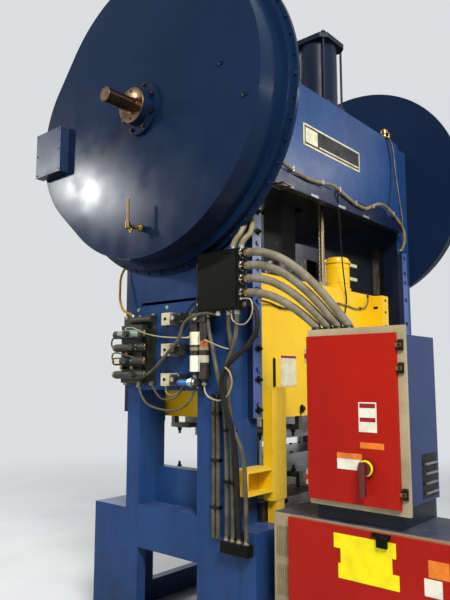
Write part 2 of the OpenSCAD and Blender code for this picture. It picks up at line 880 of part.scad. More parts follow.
module left_guard_back() { mirror([1, 0, 0]) guard_back(); }
module right_guard_back() { guard_back(); }

module shaft_seal() {
    color("#1b3a7d") difference() {
        union() {
            bar_x(-guard_face_x - 24, -guard_face_x, 171, 0, shaft_height);
            bar_x(-seal_x, -guard_face_x - 24 + past, 114, 0, shaft_height);
        }
        bar_x(-seal_x - past, -guard_face_x + past, seal_r + run_fit, 0, shaft_height);
    }
}

cover_y0 = 772;
cover_y1 = 1070;
cover_z0 = -238;
cover_z1 = 86;

module inspection_cover() {
    color("#4b5673") translate([0, 0, shaft_height])
        block([-guard_face_x - 66, cover_y0, cover_z0], [-guard_face_x, cover_y1, cover_z1]);
}

module oil_gauge() {
    y = -10;
    z = shaft_height - 770;
    stand = 95;
    color("#b99a4e") {
        bar_x(-guard_face_x - stand, -guard_face_x, 12, y, z);
        translate([-guard_face_x - stand, y, z - 14]) cylinder(h = 40, r = 16);
        translate([-guard_face_x - stand, y, z + 20]) cylinder(h = 150, r = 8);
    }
}

// Counterbalance

cap_thickness = 38;
cap_step = 14;
cap_half = balance_r + 19;
cap_chamfer = 44;
tie_place = cap_half - 34;
tie_r = 9;

// A square plate with its corners cut off
module cap_plate(h) {
    a = cap_half;
    b = cap_half - cap_chamfer;
    linear_extrude(h)
        polygon([[a, -b], [a, b], [b, a], [-b, a], [-a, b], [-a, -b], [-b, -a], [b, -a]]);
}

module balance_cylinder(side) {
    bore = balance_r - balance_wall;
    plate_top = balance_height - cap_step;
    color("#20355f") translate([0, side * balance_reach, crown_top]) difference() {
        union() {
            cap_plate(cap_thickness);
            cylinder(h = plate_top, r = balance_r);
            translate([0, 0, plate_top - cap_thickness]) cap_plate(cap_thickness);
            cylinder(h = balance_height, r = balance_r - 30);
            for (x = [-1, 1], y = [-1, 1]) translate([x * tie_place, y * tie_place, 0])
                cylinder(h = plate_top - 10, r = tie_r);
        }
        translate([0, 0, cap_thickness])
            cylinder(h = plate_top - 2 * cap_thickness, r = bore);
        translate([0, 0, -past]) cylinder(h = cap_thickness + 2 * past, r = rod_r + run_fit);
    }
}

module front_balance_cylinder() { balance_cylinder(-1); }
module rear_balance_cylinder() { balance_cylinder(1); }

piston_top = crown_top + balance_height - cap_step - cap_thickness - 20;
piston_height = 70;

module balance_rod(side) {
    bore = balance_r - balance_wall;
    color("#b9bcc2") translate([0, side * balance_reach, 0]) {
        translate([0, 0, slide_top - 78]) cylinder(h = piston_top - slide_top + 78, r = rod_r);
        translate([0, 0, piston_top - piston_height]) cylinder(h = piston_height, r = bore - slip);
        translate([0, 0, slide_top]) cylinder(h = 34, r = 40, $fn = 6);
    }
}

module front_balance_rod() { balance_rod(-1); }
module rear_balance_rod() { balance_rod(1); }

// Electrical and air equipment

module gland() {
    cylinder(h = 14, r = 30, $fn = 6);
    translate([0, 0, 14 - past]) cylinder(h = 22, r = 27);
}

gland_height = 35;

module junction_box() {
    color("#1e1f22") {
        block([box_face, box_y0, box_z0], [box_back, box_y1, box_z1]);
        block([box_back - past, -upright_y, box_z0 + 20], [-frame_x, box_y1 - 80, box_z0 + 220]);
        block([box_face - 6, box_y0 + 14, box_z0 + 14], [box_face + past, box_y1 - 14, box_z1 - 14]);
    }
    color("#b9bcc2") for (z = gland_heights) translate([gland_x, box_y0, z]) rotate([90, 0, 0]) gland();
}

// Tangent and side directions of a route at one of its points
function unit(v) = v / norm(v);
function along(p, i) = unit(p[min(i + 1, len(p) - 1)] - p[max(i - 1, 0)]);

// A tube of n sides that follows the route p; side is a direction the route never takes
module swept_tube(p, r, n, side) {
    rings = [for (i = [0 : len(p) - 1])
        let (t = along(p, i), a = unit(cross(t, side)), b = cross(t, a))
        for (k = [0 : n - 1]) p[i] + r * (cos(360 * k / n) * a + sin(360 * k / n) * b)];
    last = (len(p) - 1) * n;
    faces = concat(
        [[for (k = [0 : n - 1]) k]],
        [for (i = [0 : len(p) - 2], k = [0 : n - 1])
            [i * n + k, (i + 1) * n + k, (i + 1) * n + (k + 1) % n, i * n + (k + 1) % n]],
        [[for (k = [n - 1 : -1 : 0]) last + k]]);
    polyhedron(rings, faces);
}

// Point at t, from 0 to 1, on a cubic curve with two end points and two guide points
function curve(a, b, c, d, t) =
    pow(1 - t, 3) * a + 3 * pow(1 - t, 2) * t * b + 3 * (1 - t) * t * t * c + t * t * t * d;

// A conduit leaves its gland level, droops in one sweep and turns down into the cabinet
function conduit_route(k) =
    let (exit = [gland_x, box_y0 - gland_height, gland_heights[k]],
         start = exit - [0, 8, 0],
         finish = [entry_x, entry_places[k], cabinet_top - rim_rise + gland_height + 25],
         out = start[1] - finish[1],
         fall = start[2] - finish[2])
    concat([exit],
           [for (t = [0 : 1 / 7 : 1.001])
               curve(start, start - [0, 0.53 * out, 0], finish + [0, 0.2 * out, 0.3 * fall],
                     finish, t)],
           [finish - [0, 0, 25]]);

module conduits() {
    color("#8d8a84") for (k = [0 : 3])
        swept_tube(conduit_route(k), conduit_d / 2, 12, [1, 0, 0]);
}

// Air equipment on the left upright: a panel over its recess, with valves and filters

panel_thickness = 12;
panel_x = -frame_x - panel_thickness;
panel_half = 300;
panel_z0 = window_bottom + window_height + 6;
panel_z1 = ledge - 21;

module valve_panel() {
    color("#1f3f86") block([panel_x, -panel_half, panel_z0], [-frame_x, panel_half, panel_z1]);
}

// Heights of the three single valves above the panel's lower edge
valve_places = (panel_z1 - panel_z0) * [0.121, 0.452, 0.801];
valve_height = 76;
valve_depth = 72;
coil_y0 = -104;
coil_y1 = -31;
valve_y0 = -190;
bank_y0 = 95;
bank_y1 = 405;
bank_depth = 62;
bank_height = panel_z1 - panel_z0 - 89;
spool_r = 27;
spool_pitch = 0.19 * bank_height;

// Bodies of the single valves, and the bank of spool valves behind them
module air_valves() {
    bank_x = panel_x - 10;
    bank_z = panel_z0 + 30;
    color("#4b4f49") {
        for (z = valve_places) translate([0, 0, panel_z0 + z - valve_height / 2]) {
            block([panel_x - valve_depth, valve_y0, 6], [panel_x, coil_y0, valve_height - 6]);
            block([panel_x - valve_depth - 22, valve_y0 + 22, 20], [panel_x - valve_depth + past,
                  coil_y0 - 22, valve_height - 20]);
        }
        block([bank_x, bank_y0, bank_z], [panel_x, bank_y1, bank_z + bank_height]);
        block([bank_x - bank_depth, bank_y0 + 60, bank_z + 14],
              [bank_x + past, bank_y1 - 50, bank_z + bank_height - 70]);
        for (k = [0 : 3]) translate([bank_x - bank_depth - 14, 0, bank_z + 66 + k * spool_pitch]) {
            translate([0, bank_y0 + 8 + 14 * (k % 2), 0]) rotate([-90, 0, 0])
                cylinder(h = bank_y1 - bank_y0 - 30, r = spool_r);
            bar_x(-58, 0, 20, bank_y0 + 90 + 60 * (k % 2), 0);
        }
        translate([bank_x - 20, bank_y0 + 6, bank_z + bank_height - 36]) rotate([-90, 0, 0])
            cylinder(h = 190, r = 25);
    }
}

module valve_coils() {
    color("#cfc3a2") for (z = valve_places) translate([0, 0, panel_z0 + z - valve_height / 2])
        block([panel_x - valve_depth - 6, coil_y0, 0], [panel_x, coil_y1, valve_height]);
}

filter_x = panel_x - 40;
filter_r = 34;
filter_z1 = panel_z1 - 142;
filter_top = 45;

// Filter and regulator side by side under one head
module air_filter() {
    color("#3a3c40") {
        block([filter_x - 38, -398, filter_z1 - past], [panel_x, -250, filter_z1 + filter_top]);
        for (unit = [[-288, 290], [-362, 332]]) translate([filter_x, unit[0], filter_z1 - unit[1]]) {
            cylinder(h = unit[1], r = filter_r);
            translate([0, 0, unit[1] - 92]) cylinder(h = 34, r = filter_r + 2);
            translate([0, 0, -26]) cylinder(h = 27, r = 13);
        }
    }
}

// Dies

die_top = 1050;
punch_bottom = 1160;
pillar_x = die_width / 2 - 90;
pillar_y = die_depth / 2 - 70;
pillar_top = slide_bottom - 2 * throw - 6;
guide_drop = 90;

module lower_die() {
    half_w = die_width / 2;
    half_d = die_depth / 2;
    color("#8c8a84") {
        block([-half_w, -half_d, bolster_top], [half_w, half_d, bolster_top + shoe]);
        block([-half_w + 180, -half_d + 130, bolster_top + shoe - past],
              [half_w - 180, half_d - 130, die_top]);
        both_ends() front_and_rear() translate([pillar_x, pillar_y, bolster_top + shoe - past])
            cylinder(h = pillar_top - bolster_top - shoe + past, r = pillar_r);
    }
}

module upper_die() {
    half_w = die_width / 2;
    half_d = die_depth / 2;
    color("#9a9891") difference() {
        union() {
            block([-half_w, -half_d, slide_bottom - shoe], [half_w, half_d, slide_bottom]);
            block([-half_w + 200, -half_d + 150, punch_bottom],
                  [half_w - 200, half_d - 150, slide_bottom - shoe + past]);
            both_ends() front_and_rear() translate([pillar_x, pillar_y, slide_bottom - shoe - guide_drop])
                cylinder(h = guide_drop + past, r = pillar_r + 16);
        }
        both_ends() front_and_rear() translate([pillar_x, pillar_y, slide_bottom - shoe - guide_drop - past])
            cylinder(h = shoe + guide_drop + 2 * past, r = pillar_r + run_fit);
    }
}

// Guard posts at the front of the die space

post_x0 = 845;
post_x1 = 984;
post_y0 = -640;
post_y1 = -574 - slip;
post_bottom = 890;
post_top = 1535;
bracket_z0 = 943;
bracket_z1 = 1083;
bracket_sheet = 7;

module guard_post() {
    color("#f2c91c") {
        block([post_x0, post_y0, post_bottom], [post_x1, post_y1, post_top]);
        block([post_x0 + 20, post_y0 + 4, bed_height], [post_x0 + 100, post_y1, post_bottom + past]);
        difference() {
            block([post_x1 - past, post_y0, bracket_z0], [frame_x + 6, -upright_y, bracket_z1]);
            block([post_x1 + 6, post_y0 + 6, bracket_z0 + bracket_sheet],
                  [frame_x, -upright_y - 6, bracket_z1 - bracket_sheet]);
            block([post_x1 + 6, post_y0 - past, bracket_z0 + 17],
                  [frame_x - 6, post_y0 + 20, bracket_z1 - 17]);
        }
    }
}

module left_guard_post() { mirror([1, 0, 0]) guard_post(); }
module right_guard_post() { guard_post(); }

// Cabinets

body_x1 = body_x0 + cabinet_depth;
cabinet_top = cabinet_bottom + door_height;
rim = 40;
flange_depth = 22;

hinge_r = 7;
hinge_pin_r = 4;
knuckle = 24;
hinge_x = door_x + hinge_r;
hinge_y = door_y1 + hinge_r + 3;
lower_hinge_z = base_door_z0 - hinge_r - 3;
hinge_heights = [cabinet_bottom + 100, cabinet_top - 100];
hinge_places = [base_door_y0 + 140, base_door_y1 - 140];

// Three knuckles on a pin along Z, centred at the origin; the cabinet holds the outer two
module hinge_fixed(wall_x) {
    for (z = [-1.5 * knuckle, 0.5 * knuckle]) {
        translate([0, 0, z]) cylinder(h = knuckle, r = hinge_r);
        block([0, -7, z], [wall_x + 30, -3, z + knuckle]);
        block([wall_x, -11, z], [wall_x + 30, -4, z + knuckle]);
    }
    translate([0, 0, -knuckle]) cylinder(h = 2 * knuckle, r = hinge_pin_r);
}

module hinge_moving() {
    difference() {
        union() {
            translate([0, 0, -knuckle / 2 + slip]) cylinder(h = knuckle - 2 * slip, r = hinge_r);
            block([-hinge_r, -11, -knuckle / 2 + slip], [-1, 0, knuckle / 2 - slip]);
        }
        translate([0, 0, -knuckle]) cylinder(h = 2 * knuckle, r = hinge_pin_r + run_fit);
    }
}

// A door's sheet with its edge turned back all round, between two [Y, Z] corners
module door_pan(a, b) {
    sheet = 3;
    difference() {
        block([door_x, a[0], a[1]], [door_x + door_thickness, b[0], b[1]]);
        block([door_x + sheet, a[0] + sheet, a[1] + sheet],
              [door_x + door_thickness + past, b[0] - sheet, b[1] - sheet]);
    }
}

module at_upper_hinges() {
    for (z = hinge_heights) translate([hinge_x, hinge_y, z]) children();
}

module at_lower_hinges() {
    for (y = hinge_places) translate([hinge_x, y, lower_hinge_z]) rotate([-90, 0, 0]) children();
}

module control_cabinet() {
    sheet = 4;
    body_top = cabinet_top - rim_rise;
    color("#8f8c84") difference() {
        union() {
            block([body_x0, door_y0, cabinet_bottom], [body_x1, door_y1, body_top]);
            block([body_x0, door_y0 - flange_side, cabinet_bottom - flange_drop],
                  [body_x0 + flange_depth, door_y1 + 2, cabinet_top + flange_rise_top]);
            block([body_x0 + 30, door_y0 + 20, base_height],
                  [body_x1 - 10, door_y1 - 20, cabinet_bottom + past]);
        }
        block([body_x0 - past, door_y0 + rim, cabinet_bottom + rim],
              [body_x0 + 10, door_y1 - rim, body_top - rim]);
        block([body_x0 + 9, door_y0 + sheet, cabinet_bottom + sheet],
              [body_x1 - sheet, door_y1 - sheet, body_top - sheet]);
    }
    color("#8f8c84") at_upper_hinges() hinge_fixed(body_x0 - hinge_x);
    color("#b9bcc2") for (y = entry_places) translate([entry_x, y, body_top]) gland();
}

handle_y = door_y0 + 162;
handle_z = cabinet_bottom + 173;
spindle_r = 12;
lever_length = 129;

module control_door() {
    color("#a82018") {
        difference() {
            union() {
                door_pan([door_y0, cabinet_bottom], [door_y1, cabinet_top]);
                bar_x(door_x + 1, door_x + door_thickness, spindle_r + 10, handle_y, handle_z);
            }
            bar_x(door_x - past, door_x + door_thickness + past, spindle_r, handle_y, handle_z);
        }
        at_upper_hinges() hinge_moving();
    }
}

module disconnect_handle() {
    color("#5d1512") {
        bar_x(door_x - 30, door_x + door_thickness + 6, spindle_r - run_fit, handle_y, handle_z);
        bar_x(door_x - 12, door_x - slip, 42, handle_y, handle_z);
        bar_x(door_x - 34, door_x - 11, 32, handle_y, handle_z);
        block([door_x - 50, handle_y - 14, handle_z - lever_length + 14],
              [door_x - 33, handle_y + 14, handle_z + 30]);
        bar_x(door_x - 50, door_x - 33, 14, handle_y, handle_z - lever_length + 14);
    }
}

latch_y = base_door_y0 + 437;

module base_cabinet() {
    sheet = 5;
    color("#8f8c84") difference() {
        block([body_x0, base_y0, 0], [body_x1, base_y1, base_height]);
        block([body_x0 - past, base_door_y0 + rim, base_door_z0 + rim],
              [body_x0 + 10, base_door_y1 - rim, base_door_z1 - rim]);
        block([body_x0 + 9, base_y0 + sheet, 60], [body_x1 - sheet, base_y1 - sheet, base_height - sheet]);
        for (row = [0 : 3], k = [0 : 5])
            block([body_x0 - past, base_y1 - louvre_strip + 18 + 12 * k, 110 + 190 * row],
                  [body_x0 + 10, base_y1 - louvre_strip + 22 + 12 * k, 260 + 190 * row]);
    }
    color("#8f8c84") at_lower_hinges() hinge_fixed(body_x0 - hinge_x);
}

module base_door() {
    color("#a82018") {
        door_pan([base_door_y0, base_door_z0], [base_door_y1, base_door_z1]);
        at_lower_hinges() hinge_moving();
    }
    color("#1e1f22") block([door_x - 14, latch_y - 24, base_door_z1 - 60],
                           [door_x + past, latch_y + 24, base_door_z1 - 14]);
}

bed();
left_upright();
right_upright();
crown();
bolster();
slide();
slide_liners();
slide_adjust_motor();
left_gibs();
right_gibs();
left_keepers();
right_keepers();
crankshaft();
left_bull_gear();
right_bull_gear();
main_bushes();
pitman();
ball_screw();
back_shaft();
left_pinion();
right_pinion();
left_shaft_bracket();
right_shaft_bracket();
shaft_bushes();
brake_disc();
brake_caliper();
flywheel();
flywheel_bearing();
clutch();
drive_motor();
motor_sheave();
motor_shelf();
drive_belts();
flywheel_guard();
left_gear_guard();
right_gear_guard();
left_guard_back();
right_guard_back();
shaft_seal();
inspection_cover();
oil_gauge();
front_balance_cylinder();
rear_balance_cylinder();
front_balance_rod();
rear_balance_rod();
junction_box();
conduits();
valve_panel();
air_valves();
valve_coils();
air_filter();
upper_die();
lower_die();
left_guard_post();
right_guard_post();
control_cabinet();
control_door();
disconnect_handle();
base_cabinet();
base_door();
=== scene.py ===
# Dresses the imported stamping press: enamels, bare metals, hoses, cables, bolts, bare plates
# and the rest of what the solids leave out. Lengths are in millimetres until they reach a mesh.
import math
import random

import bmesh
import bpy
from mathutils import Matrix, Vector


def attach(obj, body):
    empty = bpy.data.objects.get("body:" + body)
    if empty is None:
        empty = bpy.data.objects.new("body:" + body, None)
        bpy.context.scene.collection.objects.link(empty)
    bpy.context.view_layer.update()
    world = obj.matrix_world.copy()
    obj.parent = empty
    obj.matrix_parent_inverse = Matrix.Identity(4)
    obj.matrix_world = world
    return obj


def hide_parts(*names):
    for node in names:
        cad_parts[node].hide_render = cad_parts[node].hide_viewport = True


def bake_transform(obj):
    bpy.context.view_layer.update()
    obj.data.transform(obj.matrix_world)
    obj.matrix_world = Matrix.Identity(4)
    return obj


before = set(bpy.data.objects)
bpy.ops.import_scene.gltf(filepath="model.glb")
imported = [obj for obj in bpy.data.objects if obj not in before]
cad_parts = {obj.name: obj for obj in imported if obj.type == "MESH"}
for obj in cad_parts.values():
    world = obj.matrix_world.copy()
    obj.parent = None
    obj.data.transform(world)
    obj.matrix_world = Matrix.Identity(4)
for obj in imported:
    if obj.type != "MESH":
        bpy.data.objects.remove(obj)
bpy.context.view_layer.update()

MM = 0.001
scene = bpy.context.scene
dice = random.Random(41)

# Camera at the photograph's viewing angle

CAMERA_PLACE = (-3.907, -2.809, 1.594)
CAMERA_YAW = 40.9
CAMERA_PITCH = 7.2
CAMERA_LENS = 36.8

camera_data = bpy.data.cameras.new("camera")
camera_data.lens = CAMERA_LENS
camera_data.sensor_width = 36
camera = bpy.data.objects.new("camera", camera_data)
scene.collection.objects.link(camera)
yaw, pitch = math.radians(CAMERA_YAW), math.radians(CAMERA_PITCH)
gaze = Vector((math.cos(yaw) * math.cos(pitch), math.sin(yaw) * math.cos(pitch), math.sin(pitch)))
camera.location = CAMERA_PLACE
camera.rotation_euler = gaze.to_track_quat("-Z", "Y").to_euler()
scene.camera = camera

# Sizes repeated from the solids

UPRIGHT_X = -1212
GUARD_FACE, GUARD_BACK = 1473, 1224
GUARD_R, BULGE_R, BULGE_BACK, BULGE_DROP = 950, 665, 400, 33
SHAFT_Z, BACK_Y, MOTOR_Z = 3268, 885, 2240
CROWN_Y, CROWN_TOP = 574, 3610
LIP_BOTTOM, LIP_Y = 2822, -594
SLIDE_Y, SLIDE_BOTTOM, SLIDE_TOP = 430, 1336, 2266
BOLSTER_TOP = 870
DOOR_X = -1236
DOOR_Y0, DOOR_Z0 = -1539, 998
FLANGE_BACK = -1193
HANDLE_Y, HANDLE_Z = -1377, 1171
BOX_LID, GLAND_X = -1312, -1273
BOX_Y0, BOX_Y1, BOX_Z0, BOX_Z1 = -652, -342, 1969, 2319
CONDUIT_HEIGHTS = (2290, 2216, 2141, 2061)
CONDUIT_ENTRIES = (-1254, -1194, -1134, -1067)
ENTRY_X, ENTRY_Z = -1158, 1834

# Places where a coat or the painted shade changes, in metres

BETWEEN_UPRIGHTS = {"X": (-0.9905, 0.9905), "Y": (-0.56, 0.56), "Z": (None, 2.95)}
TIE_BAR = {"Y": (None, -0.58), "Z": (2.0, None)}
CHALK_FROM, CHALK_FULL = 2.1, 2.4
FILTER_FRONT, FILTER_GAP = -1.262, -0.352

# Mesh helpers

LEFT, RIGHT = (-1, 0, 0), (1, 0, 0)
FRONT, REAR = (0, -1, 0), (0, 1, 0)
DOWN, UP = (0, 0, -1), (0, 0, 1)


def block(bm, lo, hi, m=0):
    """A box between two opposite corners, in either order."""
    xs, ys, zs = (sorted(ends) for ends in zip(lo, hi))
    corners = [bm.verts.new(Vector((x, y, z)) * MM) for x in xs for y in ys for z in zs]
    for side in ((0, 1, 3, 2), (4, 6, 7, 5), (0, 4, 5, 1), (2, 3, 7, 6), (0, 2, 6, 4), (1, 5, 7, 3)):
        bm.faces.new([corners[i] for i in side]).material_index = m


def frame_of(axis):
    """Two directions square to an axis."""
    axis = Vector(axis).normalized()
    side = Vector(UP) if abs(axis.z) < 0.9 else Vector(RIGHT)
    u = axis.cross(side).normalized()
    return axis, u, axis.cross(u)


def circle(bm, centre, u, v, radius, sides, turn=0.0):
    """Corners spaced evenly round a centre."""
    return [bm.verts.new((centre + radius * (math.cos(a) * u + math.sin(a) * v)) * MM)
            for a in (turn + 2 * math.pi * k / sides for k in range(sides))]


def skin(bm, rings, m=0):
    """Joins each ring of corners to the next and closes both ends."""
    for low, high in zip(rings, rings[1:]):
        for k in range(len(low)):
            j = (k + 1) % len(low)
            bm.faces.new((low[k], low[j], high[j], high[k])).material_index = m
    bm.faces.new(rings[0][::-1]).material_index = m
    bm.faces.new(rings[-1]).material_index = m


def lathe(bm, at, axis, profile, sides=24, m=0, turn=0.0):
    """Turns a profile of (distance along the axis, radius) round the axis; both ends are closed."""
    axis, u, v = frame_of(axis)
    skin(bm, [circle(bm, Vector(at) + axis * along, u, v, radius, sides, turn)
              for along, radius in profile], m)


def rod(bm, a, b, radius, sides=20, m=0):
    a, b = Vector(a), Vector(b)
    lathe(bm, a, b - a, [(0, radius), ((b - a).length, radius)], sides, m)


def smooth_path(points):
    """A Catmull-Rom curve through the points, with eight steps between each two."""
    points = [Vector(p) for p in points]
    ends = [2 * points[0] - points[1]] + points + [2 * points[-1] - points[-2]]
    path = []
    for a, b, c, d in zip(ends, ends[1:], ends[2:], ends[3:]):
        for k in range(8):
            t = k / 8
            path.append(0.5 * (2 * b + (c - a) * t + (2 * a - 5 * b + 4 * c - d) * t * t
                               + (3 * b - a - 3 * c + d) * t ** 3))
    return path + [points[-1]]


def even_path(path, step):
    """The same route with points a given step apart."""
    lengths = [0.0]
    for a, b in zip(path, path[1:]):
        lengths.append(lengths[-1] + (b - a).length)
    count = max(2, int(lengths[-1] / step))
    out, k = [], 0
    for i in range(count + 1):
        goal = lengths[-1] * i / count
        while k < len(path) - 2 and lengths[k + 1] < goal:
            k += 1
        span = lengths[k + 1] - lengths[k]
        out.append(path[k].lerp(path[k + 1], (goal - lengths[k]) / span if span else 0))
    return out


def tube(bm, path, radius, sides=10, m=0):
    """A tube along a path; radius is a number or one number per point."""
    radii = radius if isinstance(radius, list) else [radius] * len(path)
    side = None
    rings = []
    for i, p in enumerate(path):
        way = (path[min(i + 1, len(path) - 1)] - path[max(i - 1, 0)]).normalized()
        if side is None:
            side = frame_of(way)[1]
        side = (side - way * side.dot(way)).normalized()
        up = way.cross(side)
        rings.append(circle(bm, p, side, up, radii[i], sides))
    skin(bm, rings, m)


def bolt(bm, at, axis, across=24, m=0):
    """A hexagon head with chamfered corners on a washer."""
    r = across / 2 / math.cos(math.pi / 6)
    base = across * 0.1
    lathe(bm, at, axis, [(0, across * 0.92), (base, across * 0.92)], 24, m)
    turn = dice.uniform(0, math.pi / 3)
    high = base + across * 0.62
    lathe(bm, at, axis, [(base, r), (high - across * 0.07, r), (high, r * 0.86)], 6, m, turn)


def screw(bm, at, axis, size=8, m=0):
    """A low round head with a socket."""
    lathe(bm, at, axis, [(0, size), (size * 0.45, size), (size * 0.75, size * 0.8),
                         (size * 0.78, size * 0.42), (size * 0.35, size * 0.4)], 16, m)


def gland(bm, at, axis, size, m=0, nut=0):
    """A cable gland: hexagon, neck and dome nut."""
    lathe(bm, at, axis, [(0, size * 1.15), (size * 0.5, size * 1.15)], 6, m)
    lathe(bm, at, axis, [(size * 0.5, size * 0.92), (size * 1.0, size * 0.92)], 24, m)
    lathe(bm, at, axis, [(size * 0.98, size * 1.05), (size * 1.45, size * 1.05), (size * 1.7, size * 0.8)],
          6, nut, 0.3)


def piece(name, body, materials, build, bevel=0.0):
    """One object in the row frame, built by a function that fills a mesh; it rides on a body if it
    names one."""
    bm = bmesh.new()
    build(bm)
    bmesh.ops.recalc_face_normals(bm, faces=bm.faces)
    mesh = bpy.data.meshes.new(name)
    bm.to_mesh(mesh)
    bm.free()
    mesh.polygons.foreach_set("use_smooth", [True] * len(mesh.polygons))
    mesh.set_sharp_from_angle(angle=math.radians(40))
    made = bpy.data.objects.new(name, mesh)
    scene.collection.objects.link(made)
    for material in materials if isinstance(materials, list) else [materials]:
        mesh.materials.append(material)
    if bevel:
        soften(made, bevel)
    if body:
        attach(made, body)
    return made


def shape(body, materials, bevel=0.0):
    """Makes the function below it, which fills a mesh, into the object of its name."""
    return lambda build: piece(build.__name__, body, materials, build, bevel)


def soften(made, width):
    """Rounds the edges by a width in millimetres."""
    rounding = made.modifiers.new("edges", "BEVEL")
    rounding.width = width * MM
    rounding.segments = 2
    rounding.limit_method = "ANGLE"
    rounding.angle_limit = math.radians(50)
    rounding.harden_normals = True


# Materials

NOISE, RANGE, MATH, MIX = "ShaderNodeTexNoise", "ShaderNodeMapRange", "ShaderNodeMath", "ShaderNodeMix"
SPLIT, MAPPING, GEOMETRY = "ShaderNodeSeparateXYZ", "ShaderNodeMapping", "ShaderNodeNewGeometry"


def linear(colour):
    """An sRGB hex colour as linear red, green, blue and alpha."""
    parts = [int(colour[i:i + 2], 16) / 255 for i in (1, 3, 5)]
    return [c / 12.92 if c <= 0.04045 else ((c + 0.055) / 1.055) ** 2.4 for c in parts] + [1.0]


def add(tree, kind, feeds=None, **settings):
    """Adds one node with its settings; each socket gets a value, a hex colour, or a node that feeds it."""
    node = tree.nodes.new(kind)
    for key, value in settings.items():
        setattr(node, key, value)
    for key, value in (feeds or {}).items():
        if isinstance(value, bpy.types.Node):
            value = value.outputs[0]
        if isinstance(value, bpy.types.NodeSocket):
            tree.links.new(value, node.inputs[key])
        else:
            node.inputs[key].default_value = linear(value) if isinstance(value, str) else value
    return node


def start(name, values):
    """A material with its shader and its place in the row frame, in metres."""
    material = bpy.data.materials.new(name)
    material.use_nodes = True
    tree = material.node_tree
    shader = tree.nodes["Principled BSDF"]
    for key, value in values.items():
        shader.inputs[key].default_value = value
    place = add(tree, "ShaderNodeTexCoord").outputs["Object"]
    return material, tree, shader, place


def patches(tree, place, across, low, high, most=1.0, detail=4.0):
    """Blotches about so many millimetres across: 0 outside them and up to most inside."""
    cloud = add(tree, NOISE, {"Vector": place, "Scale": 1000 / across, "Detail": detail, "Roughness": 0.6})
    return add(tree, RANGE, {"Value": cloud, "From Min": low, "From Max": high, "To Max": most})


def within(tree, place, **limits):
    """1 between the limits in metres given for X, Y and Z and 0 outside; None leaves an end open."""
    split = add(tree, SPLIT, {"Vector": place}).outputs
    mask = None
    for axis, ends in limits.items():
        for end, way in zip(ends, ("GREATER_THAN", "LESS_THAN")):
            if end is not None:
                side = add(tree, MATH, {0: split[axis], 1: end}, operation=way)
                if mask is not None:
                    side = add(tree, MATH, {0: mask, 1: side}, operation="MULTIPLY")
                mask = side
    return mask


def roughen(tree, shader, mask, low, high, start_at=0.0, end_at=1.0):
    """Lets the roughness follow a mask, from low to high."""
    rough = add(tree, RANGE, {"Value": mask, "From Min": start_at, "From Max": end_at,
                              "To Min": low, "To Max": high})
    tree.links.new(rough.outputs[0], shader.inputs["Roughness"])


def stained(tree, shader, colour, stains):
    """Lays one stain after another over a colour, each where its mask is."""
    for stain, mask in stains:
        colour = add(tree, MIX, {0: mask, 6: colour, 7: stain}, data_type="RGBA").outputs[2]
    tree.links.new(colour, shader.inputs["Base Color"])


def relief(tree, shader, layers):
    """Presses layers of (height, depth in millimetres, strength) into the surface."""
    normal = {}
    for height, depth, strength in layers:
        pressed = add(tree, "ShaderNodeBump",
                      {"Height": height, "Distance": depth * MM, "Strength": strength} | normal)
        normal = {"Normal": pressed.outputs["Normal"]}
    tree.links.new(pressed.outputs["Normal"], shader.inputs["Normal"])


def chipped_edges(tree, place, wear):
    """Where paint has gone: along outer edges, and in knocks 3 to 10 mm across."""
    true = add(tree, GEOMETRY).outputs["Normal"]
    rounded = add(tree, "ShaderNodeBevel", {"Radius": 0.005}, samples=4)
    alike = add(tree, "ShaderNodeVectorMath", {0: rounded, 1: true}, operation="DOT_PRODUCT")
    edge = add(tree, RANGE, {"Value": alike.outputs["Value"], "From Min": 0.985, "From Max": 0.90})
    rubbed = add(tree, MATH, {0: edge, 1: patches(tree, place, 26, 0.50, 0.62, wear)}, operation="MULTIPLY")
    knocked = add(tree, MATH, {0: patches(tree, place, 18, 0.70, 0.735, 0.8 * wear),
                               1: patches(tree, place, 330, 0.5, 0.65)}, operation="MULTIPLY")
    return add(tree, MATH, {0: rubbed, 1: knocked}, operation="MAXIMUM")


